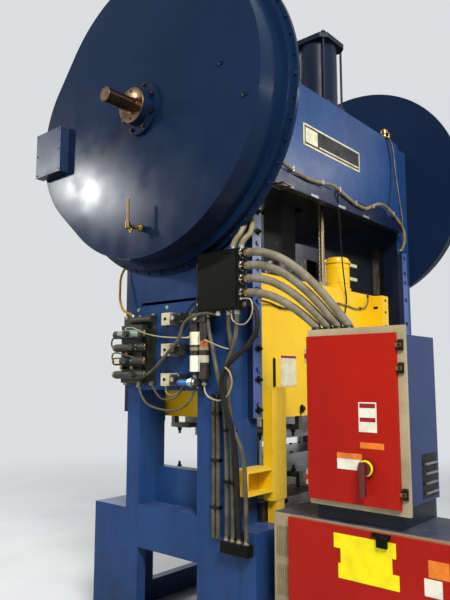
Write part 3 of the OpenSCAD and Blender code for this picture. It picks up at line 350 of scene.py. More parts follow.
def enamel(name, colour, deep, dust, chip, gloss=0.28, shine=0.5, wear=1.0, grime_top=0.9, oil_and_shade=0.8,
           faded=None, shaded_roof=None, inner_shade=None):
    """Sprayed gloss enamel on steel plate: orange peel, dirt runs, dust on what faces up, painted
    shade on the faces that look down, floor grime and chips along the edges. faded is a chalked
    colour that comes in above 2.1 m on the left, and with it the left-facing faces get painted
    shade; the roof colour goes on upward faces and is partly painted shade; the inside colour is
    painted shade between the uprights, and the tie bar in front of them gets a darker blue."""
    material, tree, shader, place = start(name, {"IOR": 1.5, "Specular IOR Level": shine})
    # Dirt runs are 60 mm wide and about a metre long
    falling = add(tree, MAPPING, {"Vector": place, "Scale": (16.0, 16.0, 0.9)})
    runs = patches(tree, falling, 1000, 0.52, 0.78, 0.45, 5.0)
    height = add(tree, SPLIT, {"Vector": place}).outputs["Z"]
    near_floor = add(tree, RANGE, {"Value": height, "From Min": grime_top, "From Max": 0.0})
    grime = add(tree, MATH, {0: near_floor, 1: patches(tree, place, 140, 0.38, 0.72, 0.65, 5.0)},
                operation="MULTIPLY")
    normal = add(tree, GEOMETRY).outputs["Normal"]
    facing = add(tree, SPLIT, {"Vector": normal}).outputs["Z"]
    upward = add(tree, RANGE, {"Value": facing, "From Min": 0.55, "From Max": 0.95})
    settled = add(tree, MATH, {0: upward, 1: patches(tree, place, 90, 0.3, 0.7, 0.5)}, operation="MULTIPLY")
    # Faces that look down get painted shade
    underside_shade = add(tree, RANGE, {"Value": facing, "From Min": -0.55, "From Max": -0.9, "To Max": oil_and_shade})
    chips = chipped_edges(tree, place, wear)
    coats = [(deep, patches(tree, place, 700, 0.3, 0.7, 0.5)), (deep, runs), ("#2a2824", grime)]
    # Upward faces take the roof colour: dark, partly painted shade
    if shaded_roof:
        coats.append((shaded_roof, add(tree, RANGE, {"Value": facing, "From Min": 0.7, "From Max": 0.9})))
    # Painted shade between the uprights, and the tie bar's darker blue
    if inner_shade:
        coats += [(inner_shade, within(tree, place, **BETWEEN_UPRIGHTS)),
                  ("#0b1835", within(tree, place, **TIE_BAR))]
    # Chalk above 2.1 m on the left, and painted shade (#14203c) on the faces that look to the left
    if faded:
        sideways = add(tree, SPLIT, {"Vector": normal}).outputs["X"]
        outer = add(tree, RANGE, {"Value": sideways, "From Min": -0.5, "From Max": -0.9})
        chalky = add(tree, RANGE, {"Value": height, "From Min": CHALK_FROM, "From Max": CHALK_FULL})
        chalky = add(tree, MATH, {0: chalky, 1: within(tree, place, X=(None, 0.0))}, operation="MULTIPLY")
        coats = [(faded, chalky)] + coats + [("#14203c", outer)]
    # 15161a is the painted shade on the faces that look down
    stained(tree, shader, colour, coats + [(dust, settled), ("#15161a", underside_shade), (chip, chips)])
    polish = add(tree, NOISE, {"Vector": place, "Scale": 5.0, "Detail": 4.0})
    polish = add(tree, RANGE, {"Value": polish, "From Min": 0.2, "From Max": 0.8,
                               "To Min": gloss - 0.06, "To Max": gloss + 0.1})
    dull = add(tree, MATH, {0: add(tree, MATH, {0: grime, 1: settled}, operation="MAXIMUM"), 1: 0.4},
               operation="MULTIPLY")
    rough = add(tree, MATH, {0: polish, 1: dull}, operation="ADD")
    tree.links.new(rough.outputs[0], shader.inputs["Roughness"])
    # The plate's slight waves are half a metre long; orange peel is about 2 mm in the real paint
    # and is drawn at 6 mm so that it shows
    waves = add(tree, NOISE, {"Vector": place, "Scale": 2.2, "Detail": 2.0})
    peel = add(tree, NOISE, {"Vector": place, "Scale": 160.0, "Detail": 1.0})
    relief(tree, shader, [(waves, 16, 0.12), (peel, 0.6, 0.2), (chips, -0.8, 0.5)])
    return material


def bare_metal(name, colour, deep, roughness, marks_along, oiled=0.5):
    """Machined metal: tool marks along one way, a dull bloom and dark oil."""
    material, tree, shader, place = start(name, {"Metallic": 1.0})
    cut_way = add(tree, MAPPING, {"Vector": place, "Scale": marks_along})
    marks = add(tree, NOISE, {"Vector": cut_way, "Scale": 1.0, "Detail": 4.0, "Roughness": 0.7})
    bloom = patches(tree, place, 110, 0.45, 0.75, 0.45, 5.0)
    stained(tree, shader, colour, [
        (deep, add(tree, RANGE, {"Value": marks, "From Min": 0.3, "From Max": 0.7})),
        (deep, bloom), ("#1c1712", patches(tree, place, 250, 0.52, 0.68, oiled))])
    roughen(tree, shader, marks, roughness - 0.1, roughness + 0.16, 0.2, 0.8)
    relief(tree, shader, [(marks, 0.4, 0.35), (bloom, 0.5, 0.3)])
    return material


def cast_metal(name, colour, deep, roughness=0.6):
    """Sand-cast iron under thin paint: a grain of 3 to 4 mm, oil-dark in the hollows."""
    material, tree, shader, place = start(name, {"IOR": 1.5, "Specular IOR Level": 0.35})
    grain = add(tree, NOISE, {"Vector": place, "Scale": 260.0, "Detail": 3.0, "Roughness": 0.7})
    oil_and_shade = patches(tree, place, 160, 0.35, 0.7)
    stained(tree, shader, colour, [(deep, oil_and_shade), ("#8a8577", patches(tree, place, 60, 0.66, 0.74, 0.5))])
    roughen(tree, shader, grain, roughness - 0.1, roughness + 0.15, 0.2, 0.8)
    relief(tree, shader, [(grain, 1.2, 0.5), (oil_and_shade, 1.0, 0.2)])
    return material


def soft_sheath(name, colour, deep, roughness):
    """Rubber or plastic: dull, dusty in patches, with a grain of 3 mm."""
    material, tree, shader, place = start(name, {"IOR": 1.5, "Specular IOR Level": 0.2})
    dusty = patches(tree, place, 80, 0.35, 0.7)
    stained(tree, shader, colour, [(deep, dusty)])
    roughen(tree, shader, dusty, roughness - 0.1, roughness + 0.1)
    grain = add(tree, NOISE, {"Vector": place, "Scale": 300.0, "Detail": 2.0})
    relief(tree, shader, [(grain, 0.4, 0.3)])
    return material


def bare_plate(name, colour, stain):
    """A printed plate with nothing on it: flat colour, faint scratches and a greasy edge."""
    material, tree, shader, place = start(name, {"IOR": 1.46, "Specular IOR Level": 0.15})
    greasy = patches(tree, place, 70, 0.42, 0.75, 0.55)
    stained(tree, shader, colour, [(stain, greasy)])
    roughen(tree, shader, greasy, 0.32, 0.75)
    wiped = add(tree, MAPPING, {"Vector": place, "Scale": (30.0, 30.0, 400.0)})
    relief(tree, shader, [(add(tree, NOISE, {"Vector": wiped, "Scale": 1.0, "Detail": 3.0}), 0.3, 0.25)])
    return material


def two_tone_cabinet(name):
    """The upper cabinet's enamels: a beige flange round the door, a blue body, and painted shadow on the
    neck below the door.
    """
    material, tree, shader, place = start(name, {"IOR": 1.5, "Specular IOR Level": 0.2})
    body_x = ((FLANGE_BACK - 1) * MM, None)
    behind = within(tree, place, X=body_x)
    # Painted shadow (#14161c) on the cabinet's neck below the door
    neck = within(tree, place, X=body_x, Z=(None, (DOOR_Z0 - 4) * MM))
    chips = chipped_edges(tree, place, 0.7)
    stained(tree, shader, "#ab9c7a", [
        ("#8d7f5e", patches(tree, place, 160, 0.45, 0.75, 0.6)), ("#22345f", behind), ("#14161c", neck),
        ("#23283a", patches(tree, place, 420, 0.42, 0.75, 0.35)), ("#6b6557", chips)])
    polish = add(tree, NOISE, {"Vector": place, "Scale": 6.0, "Detail": 4.0})
    roughen(tree, shader, polish, 0.3, 0.55)
    peel = add(tree, NOISE, {"Vector": place, "Scale": 160.0, "Detail": 1.0})
    relief(tree, shader, [(peel, 0.6, 0.2), (chips, -0.8, 0.5)])
    return material


def banded_filter(name):
    """The two filter bowls: smoked brown-black mouldings with bare paper labels and an orange ring."""
    material, tree, shader, place = start(name, {"IOR": 1.5, "Roughness": 0.3})
    greasy = patches(tree, place, 45, 0.45, 0.7, 0.6)
    first, second = (FILTER_GAP, None), (None, FILTER_GAP)
    labels = []
    for low, high, unit, colour in ((1.785, 1.862, first, "#e2dabb"), (1.627, 1.722, first, "#e6e2cc"),
                                    (1.752, 1.772, first, "#857a58"), (1.772, 1.806, second, "#a8541c"),
                                    (1.752, 1.772, second, "#8c8262"), (1.680, 1.722, second, "#b5ad92")):
        labels.append((colour, within(tree, place, X=(None, FILTER_FRONT), Y=unit, Z=(low, high))))
    oil_and_shade = patches(tree, place, 30, 0.58, 0.7, 0.5)
    stained(tree, shader, "#221a12", [("#3d342a", greasy)] + labels + [("#4a3f28", oil_and_shade)])
    relief(tree, shader, [(greasy, 0.5, 0.3)])
    return material


# Deep blue gloss enamel on the welded frame: rich, slightly mottled, dark where oil has run; painted shade
# darkens it between the uprights and on faces that look down
blue_enamel = enamel("blue_gloss_enamel", "#254677", "#15294c", "#56607a", "#33373f",
                     gloss=0.24, shine=0.12, inner_shade="#0d1525")
# The guards' rolled sheet has the same enamel, smoother, so it mirrors the lamps in broad soft shapes; its
# blue is made far darker than the frame's as painted shade
shaded_guard_enamel = enamel("blue_gloss_enamel_on_sheet_with_painted_shade", "#10223b", "#0a182c", "#3e4759", "#2b303a",
                      gloss=0.2, shine=0.07, wear=0.6, oil_and_shade=0.7)
# A worn plate of grey-blue enamel over the inspection hole
cover_enamel = enamel("grey_blue_enamel", "#22314c", "#172338", "#4c566c", "#5a5f68",
                      gloss=0.34, shine=0.12)
# Lavender-blue enamel of an older coat, chalked and dull
strip_enamel = enamel("faded_blue_enamel", "#4f6296", "#364a7c", "#8088a8", "#33363f",
                      gloss=0.42, shine=0.2, faded="#a3a1b2")
# Safety yellow enamel: strong and glossy, stained brown by oil
yellow_enamel = enamel("safety_yellow_enamel", "#efc518", "#d79c0c", "#c9b26a", "#4b4130",
                       gloss=0.26, shine=0.3, wear=0.8, grime_top=0.6, oil_and_shade=0.5)
# Red enamel on folded door sheet, scuffed by hands and feet
red_enamel = enamel("red_gloss_enamel", "#a4190b", "#84130a", "#9a6052", "#4a4038",
                    gloss=0.3, shine=0.12, wear=0.7, grime_top=0.5)
# Beige-grey machine enamel on the lower cabinet, with handling dirt; its roof takes a dark blue and a dark
# dust, partly painted shade under the upper cabinet
beige_enamel = enamel("beige_grey_enamel", "#9e8e70", "#7b6d4e", "#5a5548", "#4f4b43", gloss=0.4, shine=0.2,
                      shaded_roof="#1a2746")
cabinet_enamels = two_tone_cabinet("beige_and_blue_cabinet_enamel_with_painted_shadow")
# Olive-black satin enamel on the junction box
black_enamel = enamel("olive_black_satin_enamel", "#11120c", "#0a0b08", "#2a2a22", "#45453b",
                      gloss=0.5, shine=0.06, wear=0.5)
# Maroon enamel on the switch handle
maroon_enamel = enamel("maroon_enamel", "#5e1613", "#3a0d0c", "#6d4a44", "#57504a", gloss=0.3, wear=0.5)
# Ivory moulding of the solenoid coils, yellowed and greasy
coil_ivory = enamel("yellowed_ivory_moulding", "#d8cfac", "#a08f62", "#b8ab8a", "#5c5546",
                    gloss=0.4, shine=0.3, wear=0.6)
# Pale green enamel on the top valve's sleeve
green_enamel = enamel("pale_green_enamel", "#7f9484", "#5c6d60", "#98a294", "#4d534c", gloss=0.4, shine=0.2)
# Red oxide primer on the clutch casting: matt and brown
clutch_primer = enamel("red_oxide_primer", "#6f3226", "#4c2018", "#7b6258", "#4a4440", gloss=0.5, shine=0.2)
# Black paint on the counterbalance's rolled steel, which has gone dull
cylinder_enamel = enamel("black_blue_enamel", "#141e2f", "#0c131f", "#343c4c", "#3b3f47",
                         gloss=0.36, shine=0.1)

# Ground steel of the dies and rods, with long wheel marks under a film of oil
machined_steel = bare_metal("ground_tool_steel", "#a9aaab", "#747574", 0.34, (8.0, 220.0, 220.0))
# Polished balance rods carry a straw-coloured film of oil, so they look like brass
rod_steel = bare_metal("oiled_polished_rod", "#c9b58c", "#93805a", 0.22, (14.0, 14.0, 260.0), oiled=0.15)
# Turned shaft steel with a bronze-brown bloom of old oil
shaft_steel = bare_metal("turned_shaft_steel", "#846a52", "#3d2e22", 0.3, (260.0, 14.0, 14.0), oiled=0.35)
gear_steel = bare_metal("hobbed_gear_steel", "#7b7c7e", "#47474a", 0.36, (220.0, 30.0, 30.0), oiled=0.7)
plate_steel = bare_metal("planed_bolster_steel", "#7f7c74", "#4c4942", 0.45, (10.0, 160.0, 160.0),
                         oiled=0.65)
# The gibs' iron is made dark, partly as painted shade between the uprights
gib_iron = bare_metal("scraped_gib_iron", "#504c43", "#2e2b25", 0.4, (60.0, 60.0, 12.0), oiled=0.55)
# Zinc-plated fasteners: pale, a little yellow, dull
zinc = bare_metal("zinc_plated_steel", "#c6c4ba", "#8f8d84", 0.36, (90.0, 90.0, 90.0), oiled=0.25)
dark_bolt = bare_metal("blackened_steel", "#3a3936", "#201f1d", 0.45, (90.0, 90.0, 90.0), oiled=0.4)
brass = bare_metal("turned_brass", "#a88d55", "#66512c", 0.28, (120.0, 120.0, 120.0), oiled=0.2)
bronze = bare_metal("bearing_bronze", "#b08a4c", "#765428", 0.36, (200.0, 20.0, 20.0), oiled=0.5)
aluminium = bare_metal("die_cast_aluminium", "#b7b8b6", "#8a8b89", 0.45, (110.0, 110.0, 110.0), oiled=0.3)

# Cast iron left in its dark works paint: rough and almost black with oil; on the pitman deep inside the
# press the near-black is partly painted shade
cast_iron = cast_metal("sand_cast_iron", "#17181a", "#0d0e0e")
valve_iron = cast_metal("painted_valve_casting", "#2b2d26", "#14150f", 0.5)
motor_paint = cast_metal("motor_casting_enamel", "#20365f", "#131f3a", 0.45)

black_rubber = soft_sheath("belt_and_hose_rubber", "#0f0f10", "#191815", 0.6)
grey_sheath = soft_sheath("ribbed_conduit_sheath", "#7f7664", "#5c5443", 0.5)
pale_sheath = soft_sheath("beige_hose_sheath", "#8f8160", "#5d5238", 0.45)
olive_sheath = soft_sheath("olive_grey_hose_sheath", "#57533f", "#38352a", 0.45)
yellow_sheath = soft_sheath("yellow_air_hose", "#c2961c", "#7a601c", 0.4)
white_sheath = soft_sheath("yellowed_nylon_tube", "#b3a67f", "#857a5a", 0.35)
dark_plastic = soft_sheath("moulded_black_plastic", "#1d1d1e", "#34322d", 0.4)
blue_plastic = soft_sheath("blue_moulded_plastic", "#2f6fae", "#24507f", 0.3)
smoked_bowl = banded_filter("banded_filter_mouldings")

white_plate = bare_plate("bare_white_plate", "#dedac6", "#a29a80")
yellow_plate = bare_plate("bare_yellow_plate", "#ecdc12", "#c2b01e")
orange_plate = bare_plate("bare_orange_plate", "#dd7a2a", "#8a5228")
black_plate = bare_plate("bare_black_plate", "#030304", "#0b0a09")
cream_plate = bare_plate("bare_cream_plate", "#d6cfae", "#91886a")
red_plate = bare_plate("bare_red_plate", "#8e1f2a", "#6d241c")

finish_of = {
    blue_enamel: "bed left_upright right_upright crown left_shaft_bracket right_shaft_bracket "
                 "motor_shelf valve_panel",
    shaded_guard_enamel: "left_gear_guard right_gear_guard left_guard_back right_guard_back "
                  "flywheel_guard shaft_seal",
    cover_enamel: "inspection_cover",
    strip_enamel: "left_keepers right_keepers",
    yellow_enamel: "slide slide_adjust_motor left_guard_post right_guard_post",
    red_enamel: "control_door base_door",
    beige_enamel: "base_cabinet",
    cabinet_enamels: "control_cabinet",
    black_enamel: "junction_box",
    maroon_enamel: "disconnect_handle",
    coil_ivory: "valve_coils",
    clutch_primer: "clutch",
    machined_steel: "lower_die upper_die back_shaft flywheel_bearing",
    rod_steel: "front_balance_rod rear_balance_rod",
    plate_steel: "bolster",
    shaft_steel: "crankshaft",
    gear_steel: "left_bull_gear right_bull_gear left_pinion right_pinion brake_disc ball_screw",
    gib_iron: "left_gibs right_gibs",
    bronze: "main_bushes shaft_bushes slide_liners",
    brass: "oil_gauge",
    cast_iron: "pitman flywheel brake_caliper motor_sheave",
    valve_iron: "air_valves",
    cylinder_enamel: "front_balance_cylinder rear_balance_cylinder",
    motor_paint: "drive_motor",
    black_rubber: "drive_belts",
    smoked_bowl: "air_filter",
    grey_sheath: "conduits",
}
for material, names in finish_of.items():
    for name in names.split():
        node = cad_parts[name]
        node.data.materials.clear()
        node.data.materials.append(material)

# Plate and sheet edges are never knife-sharp; the width is in millimetres
edge_rounding = {
    6: "crown", 5: "bed left_upright right_upright slide", 4: "valve_coils", 2.5: "bolster",
    3: "left_guard_post right_guard_post disconnect_handle junction_box inspection_cover",
    2: "left_keepers right_keepers left_gibs right_gibs control_cabinet base_cabinet air_valves "
       "valve_panel",
    1.5: "upper_die lower_die",
}
for width, names in edge_rounding.items():
    for name in names.split():
        soften(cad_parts[name], width)
for name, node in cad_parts.items():
    node.data.polygons.foreach_set("use_smooth", [True] * len(node.data.polygons))
    node.data.set_sharp_from_angle(angle=math.radians(28))

# Conduits, hoses and cables


def conduit_route(k):
    """The same route as the solid conduit's: out of its gland, over and down into the cabinet."""
    leaves = Vector((GLAND_X, BOX_Y0 - 35, CONDUIT_HEIGHTS[k]))
    start_at = leaves - Vector((0, 8, 0))
    finish = Vector((ENTRY_X, CONDUIT_ENTRIES[k], ENTRY_Z + 25))
    out, fall = start_at.y - finish.y, start_at.z - finish.z
    guides = (start_at, start_at - Vector((0, 0.53 * out, 0)),
              finish + Vector((0, 0.2 * out, 0.3 * fall)), finish)
    line = [leaves]
    for i in range(41):
        t = i / 40
        weights = ((1 - t) ** 3, 3 * (1 - t) ** 2 * t, 3 * (1 - t) * t * t, t ** 3)
        line.append(sum((w * g for w, g in zip(weights, guides)), Vector()))
    return line + [finish - Vector((0, 0, 13)), finish - Vector((0, 0, 25))]


CONDUIT_R, RIB = 22.2, 0.8
for k in range(4):
    # The sheath's ribs are 4 mm apart in the real one and are drawn at 9 mm so that they show
    path = even_path(conduit_route(k), 3.0)
    ribs = [CONDUIT_R + RIB * math.cos(2 * math.pi * i / 3) for i in range(len(path))]
    made = piece("conduit_%d" % (k + 1), "frame", grey_sheath,
                 lambda bm: tube(bm, path, ribs, 18))
    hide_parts("conduits")


@shape("frame", [zinc, brass, dark_bolt], bevel=1.0)
def conduit_nuts(bm):
    for k in range(4):
        path = conduit_route(k)
        box_side = (GLAND_X, BOX_Y0, CONDUIT_HEIGHTS[k])
        lathe(bm, box_side, FRONT, [(0, 32), (9, 32), (10, 29), (22, 29)], 6, 0, 0.2)
        lathe(bm, box_side, FRONT, [(20, 27), (46, 27), (52, 24.2)], 24, 1)
        lathe(bm, path[-1] - Vector((0, 0, 12)), UP, [(0, 29), (26, 29), (32, 24.2)], 24, 2)

# Each hose: radius, sheath and points
hoses = {
    "box_hose_top_1": (16, pale_sheath, [
        (-1266, -582, 2345), (-1262, -596, 2376), (-1240, -618, 2420), (-1205, -622, 2478),
        (-1180, -613, 2512), (-1160, -598, 2552), (-1144, -574, 2606), (-1140, -546, 2630)]),
    "box_hose_top_2": (16, pale_sheath, [
        (-1256, -634, 2345), (-1246, -652, 2378), (-1215, -667, 2416), (-1180, -657, 2477),
        (-1150, -624, 2540), (-1118, -596, 2620), (-1104, -570, 2690), (-1100, -546, 2712)]),
    "box_hose_down_1": (12, olive_sheath, [
        (-1273, -557, 1943), (-1268, -552, 1862), (-1262, -570, 1736), (-1262, -552, 1636),
        (-1260, -537, 1524), (-1256, -550, 1402), (-1250, -556, 1250), (-1244, -556, 1050),
        (-1240, -556, 850), (-1238, -554, 726)]),
    "box_hose_down_2": (12, olive_sheath, [
        (-1280, -622, 1943), (-1286, -622, 1857), (-1294, -604, 1763), (-1298, -569, 1680),
        (-1294, -530, 1580), (-1272, -514, 1468), (-1252, -514, 1330), (-1244, -514, 1100),
        (-1240, -512, 850), (-1238, -510, 726)]),
    "post_hose": (15, black_rubber, [
        (-1258, -678, 2000), (-1258, -712, 1992), (-1260, -744, 1945), (-1264, -750, 1862),
        (-1276, -706, 1777), (-1306, -640, 1712), (-1330, -580, 1646), (-1330, -549, 1557),
        (-1318, -560, 1457), (-1296, -592, 1330), (-1274, -606, 1150), (-1252, -604, 880),
        (-1238, -602, 726)]),
    "valve_hose_long": (12, olive_sheath, [
        (-1273, -394, 1943), (-1276, -410, 1850), (-1290, -452, 1752), (-1312, -492, 1660),
        (-1310, -520, 1560), (-1286, -545, 1440), (-1280, -588, 1320), (-1268, -648, 1180),
        (-1250, -654, 1000), (-1244, -652, 850), (-1238, -650, 726)]),
    "box_loop": (3.8, white_sheath, [
        (-1290, -590, 1949), (-1291, -598, 1915), (-1292, -640, 1888), (-1292, -690, 1888),
        (-1292, -730, 1925), (-1291, -742, 1975), (-1290, -728, 2018), (-1290, -696, 2028),
        (-1290, -660, 2028)]),
    "box_to_bank": (10, olive_sheath, [
        (-1290, -470, 1955), (-1296, -433, 1963), (-1312, -360, 1960), (-1326, -294, 1940),
        (-1336, -256, 1905), (-1340, -240, 1862), (-1342, -218, 1812), (-1344, -155, 1758),
        (-1344, -80, 1695), (-1336, -9, 1648), (-1324, 56, 1620), (-1314, 94, 1612)]),
    "spool_tube": (3.8, white_sheath, [
        (-1314, 290, 1906), (-1320, 272, 1914), (-1330, 200, 1908), (-1336, 114, 1879), (-1338, 37, 1858),
        (-1338, -64, 1841), (-1336, -159, 1832), (-1326, -226, 1829), (-1300, -256, 1829)]),
    "bowl_tube": (3.8, white_sheath, [
        (-1296, -390, 1808), (-1312, -408, 1808), (-1322, -455, 1795), (-1324, -500, 1778),
        (-1320, -560, 1758), (-1312, -588, 1752)]),
    "filter_loop": (5, white_sheath, [
        (-1264, -362, 1560), (-1266, -366, 1520), (-1276, -405, 1484), (-1292, -500, 1466),
        (-1314, -580, 1496), (-1326, -622, 1560), (-1340, -620, 1620), (-1346, -590, 1650)]),
    "bank_loop": (7, olive_sheath, [
        (-1296, 176, 1560), (-1300, 150, 1490), (-1298, 75, 1424), (-1290, -98, 1396), (-1276, -220, 1430),
        (-1266, -278, 1510), (-1264, -288, 1602)]),
    "side_loop_1": (5, black_rubber, [
        (-1290, -334, 2034), (-1300, -306, 2028), (-1312, -270, 1990), (-1310, -240, 1949),
        (-1304, -217, 1925), (-1292, -192, 1930)]),
    "side_loop_2": (5, black_rubber, [
        (-1296, -334, 2010), (-1314, -318, 1984), (-1322, -287, 1926), (-1318, -250, 1882),
        (-1302, -200, 1850), (-1296, -170, 1800)]),
    "side_loop_3": (4, pale_sheath, [
        (-1280, -334, 1996), (-1290, -316, 2000), (-1296, -290, 1990), (-1290, -272, 1966)]),
    "spool_lead_1": (5, black_rubber, [
        (-1310, 400, 1785), (-1322, 420, 1800), (-1336, 400, 1838), (-1344, 340, 1860), (-1340, 250, 1828),
        (-1330, 160, 1830), (-1322, 110, 1858)]),
    "spool_lead_2": (5, olive_sheath, [
        (-1310, 400, 1698), (-1326, 412, 1722), (-1342, 370, 1752), (-1344, 280, 1742), (-1342, 190, 1722),
        (-1330, 130, 1700), (-1322, 108, 1680)]),
    "spool_lead_3": (6, olive_sheath, [
        (-1300, 60, 1560), (-1306, 30, 1530), (-1312, -40, 1472), (-1300, -110, 1462), (-1284, -160, 1484),
        (-1268, -178, 1522), (-1264, -180, 1548)]),
    "coil_lead_1": (4, black_rubber, [
        (-1284, -70, 1924), (-1296, -70, 1900), (-1306, -84, 1870), (-1306, -84, 1830),
        (-1292, -70, 1802)]),
    "coil_lead_2": (4, black_rubber, [
        (-1284, -70, 1722), (-1296, -70, 1700), (-1306, -84, 1680), (-1306, -84, 1650),
        (-1292, -70, 1622)]),
    "coil_lead_3": (5, grey_sheath, [
        (-1284, -70, 1542), (-1294, -70, 1512), (-1296, -100, 1490), (-1280, -150, 1496),
        (-1270, -190, 1540), (-1266, -196, 1568)]),
    "yellow_air_hose": (8, yellow_sheath, [
        (-1268, 286, 2000), (-1284, 312, 2018), (-1290, 356, 2042), (-1282, 396, 2110), (-1274, 408, 2180),
        (-1262, 420, 2250), (-1246, 420, 2300), (-1230, 400, 2340), (-1216, 380, 2352)]),
    "keeper_lead": (6, black_rubber, [
        (-1040, -586, 2112), (-1036, -592, 2092), (-1000, -580, 2080), (-930, -520, 2076),
        (-850, -462, 2078), (-725, -442, 2074), (-612, -438, 2055), (-497, -437, 2055),
        (-380, -436, 2062)]),
    "crown_cable": (5, black_rubber, [
        (-120, -604, 2936), (-116, -606, 2900), (-90, -592, 2849), (-20, -560, 2720), (60, -520, 2600),
        (139, -482, 2464), (215, -454, 2310), (262, -440, 2190), (246, -436, 2100), (238, -433, 2078)]),
    "side_cable": (4, black_rubber, [
        (752, -580, 3640), (775, -581, 3548), (812, -581, 3426), (816, -581, 3297), (790, -582, 3154),
        (745, -590, 3040), (720, -600, 2998)]),
    "crown_hose": (13, pale_sheath, [
        (-893, -596, 2984), (-808, -603, 2965), (-697, -606, 2944), (-581, -606, 2932), (-460, -606, 2928),
        (-332, -606, 2942), (-198, -606, 2958), (-102, -606, 2946), (-6, -606, 2924), (134, -606, 2896),
        (290, -606, 2890), (407, -606, 2932), (510, -606, 2972), (633, -606, 2982), (766, -606, 2945),
        (880, -606, 2900), (960, -606, 2850), (1012, -592, 2770), (1022, -566, 2700), (1022, -548, 2682)]),
    "slide_lead": (6, pale_sheath, [
        (120, -438, 2140), (137, -440, 2150), (287, -438, 2144), (400, -437, 2132), (477, -437, 2140),
        (560, -438, 2156), (600, -440, 2190), (614, -438, 2226), (620, -431, 2250)]),
    "side_lead": (4, pale_sheath, [
        (772, -580, 3630), (830, -582, 3600), (872, -582, 3530), (905, -583, 3322), (955, -590, 3067),
        (985, -592, 2930), (1000, -570, 2850), (1004, -540, 2810)]),
}
# Two run from the frame to the slide; the frame end and slide end listed for each are not read, and they
# ride on no body
to_slide = {"crown_cable": ((-0.12, -0.60, 2.93), (0.238, -0.433, 2.10)),
            "keeper_lead": ((-1.0, -0.58, 2.08), (-0.72, -0.44, 2.07))}
for name, (radius, sheath, points) in hoses.items():
    # Thick pale conduit is stiff, rubber hose bends, and thin tubes and leads are limp; each is drawn as a
    # fixed tube along a smooth curve through its points, sampled at a step that grows with its radius from
    # 6 mm
    path = even_path(smooth_path(points), max(6, radius * 0.7))
    body = None if name in to_slide else "ram" if name == "slide_lead" else "frame"
    made = piece(name, body, sheath, lambda bm: tube(bm, path, radius, 12))
    if name in to_slide:
        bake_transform(made)


@shape("frame", [zinc, brass, black_enamel], bevel=0.8)
def hose_fittings(bm):
    # Glands under, over and beside the box, then the row on the bed's end where the hoses go in
    for x, y, size in ((-1273, -557, 15), (-1280, -622, 15), (-1273, -394, 15), (-1290, -590, 7)):
        gland(bm, (x, y, BOX_Z0), DOWN, size)
    rod(bm, (-1290, -494, BOX_Z0 + 2), (-1290, -494, BOX_Z0 - 24), 13, 16)
    gland(bm, (-1290, -497, BOX_Z0 - 14), REAR, 12)
    for x, y in ((-1266, -582), (-1256, -634)):
        gland(bm, (x, y, BOX_Z1), UP, 18)
    gland(bm, (-1258, BOX_Y0, 2000), FRONT, 16, 0, 1)
    gland(bm, (-1290, BOX_Y0, 2028), FRONT, 7)
    for x, z in ((-1290, 2034), (-1296, 2010), (-1280, 1996)):
        gland(bm, (x, BOX_Y1, z), REAR, 6)
    for y, size in ((-554, 16), (-510, 16), (-602, 17), (-650, 16)):
        gland(bm, (-1238, y, 700), UP, size, 0, 1)
    block(bm, (-1266, -676, 640), (UPRIGHT_X, -484, 702), 2)
    for x, z in ((-1140, 2630), (-1100, 2712)):
        gland(bm, (x, -532, z), FRONT, 18)
    # Push-in fittings on the valves, the filter and the panel
    for at, way, size in (((-1314, 290, 1896), UP, 8), ((-1290, -264, 1829), (-0.7, 0.7, 0), 7),
                          ((-1288, -385, 1808), (-0.7, -0.7, 0), 7), ((-1296, 176, 1562), DOWN, 10),
                          ((-1288, -268, 1963), UP, 6), ((-1290, -190, 1930), FRONT, 6),
                          ((-1294, -170, 1797), UP, 6), ((-1300, 60, 1562), DOWN, 8),
                          ((UPRIGHT_X, 380, 2352), LEFT, 11),
                          ((-1260, 276, 1986), (-0.35, 0.45, 0.8), 10)):
        lathe(bm, at, way, [(-4, size * 1.25), (size * 0.8, size * 1.25)], 6, 1)
        lathe(bm, at, way, [(size * 0.7, size), (size * 1.7, size), (size * 1.9, size * 0.8)], 20)
    # Clips that hold the bundle to the upright's front corner
    for z in (1290, 1010):
        block(bm, (-1262, -604, z), (-1256, -500, z + 18), 2)
        block(bm, (-1256, -520, z), (UPRIGHT_X, -500, z + 18), 2)


@shape("frame", dark_bolt)
def box_trim(bm):
    for y in (BOX_Y0 + 26, BOX_Y1 - 26):
        for z in (BOX_Z0 + 26, BOX_Z1 - 26):
            screw(bm, (BOX_LID, y, z), LEFT, 7)
    for z in (2050, 2240):
        rod(bm, (BOX_LID + 6, BOX_Y1 + 5, z - 22), (BOX_LID + 6, BOX_Y1 + 5, z + 22), 6)

# Valves


@shape("frame", [coil_ivory, black_rubber, zinc], bevel=1.2)
def coil_trim(bm):
    for z in (1582, 1762, 1952):
        block(bm, (-1304, -96, z - 30), (-1299, -40, z + 30))
        rod(bm, (-1304, -68, z), (-1312, -68, z), 9, 20, 1)
        gland(bm, (-1284, -68, z - 38), DOWN, 7, 1, 1)
        for y in (-180, -114):
            screw(bm, (-1296, y, z + 22), LEFT, 4, 2)
        rod(bm, (-1318, -150, z), (-1326, -150, z), 14, 20, 2)


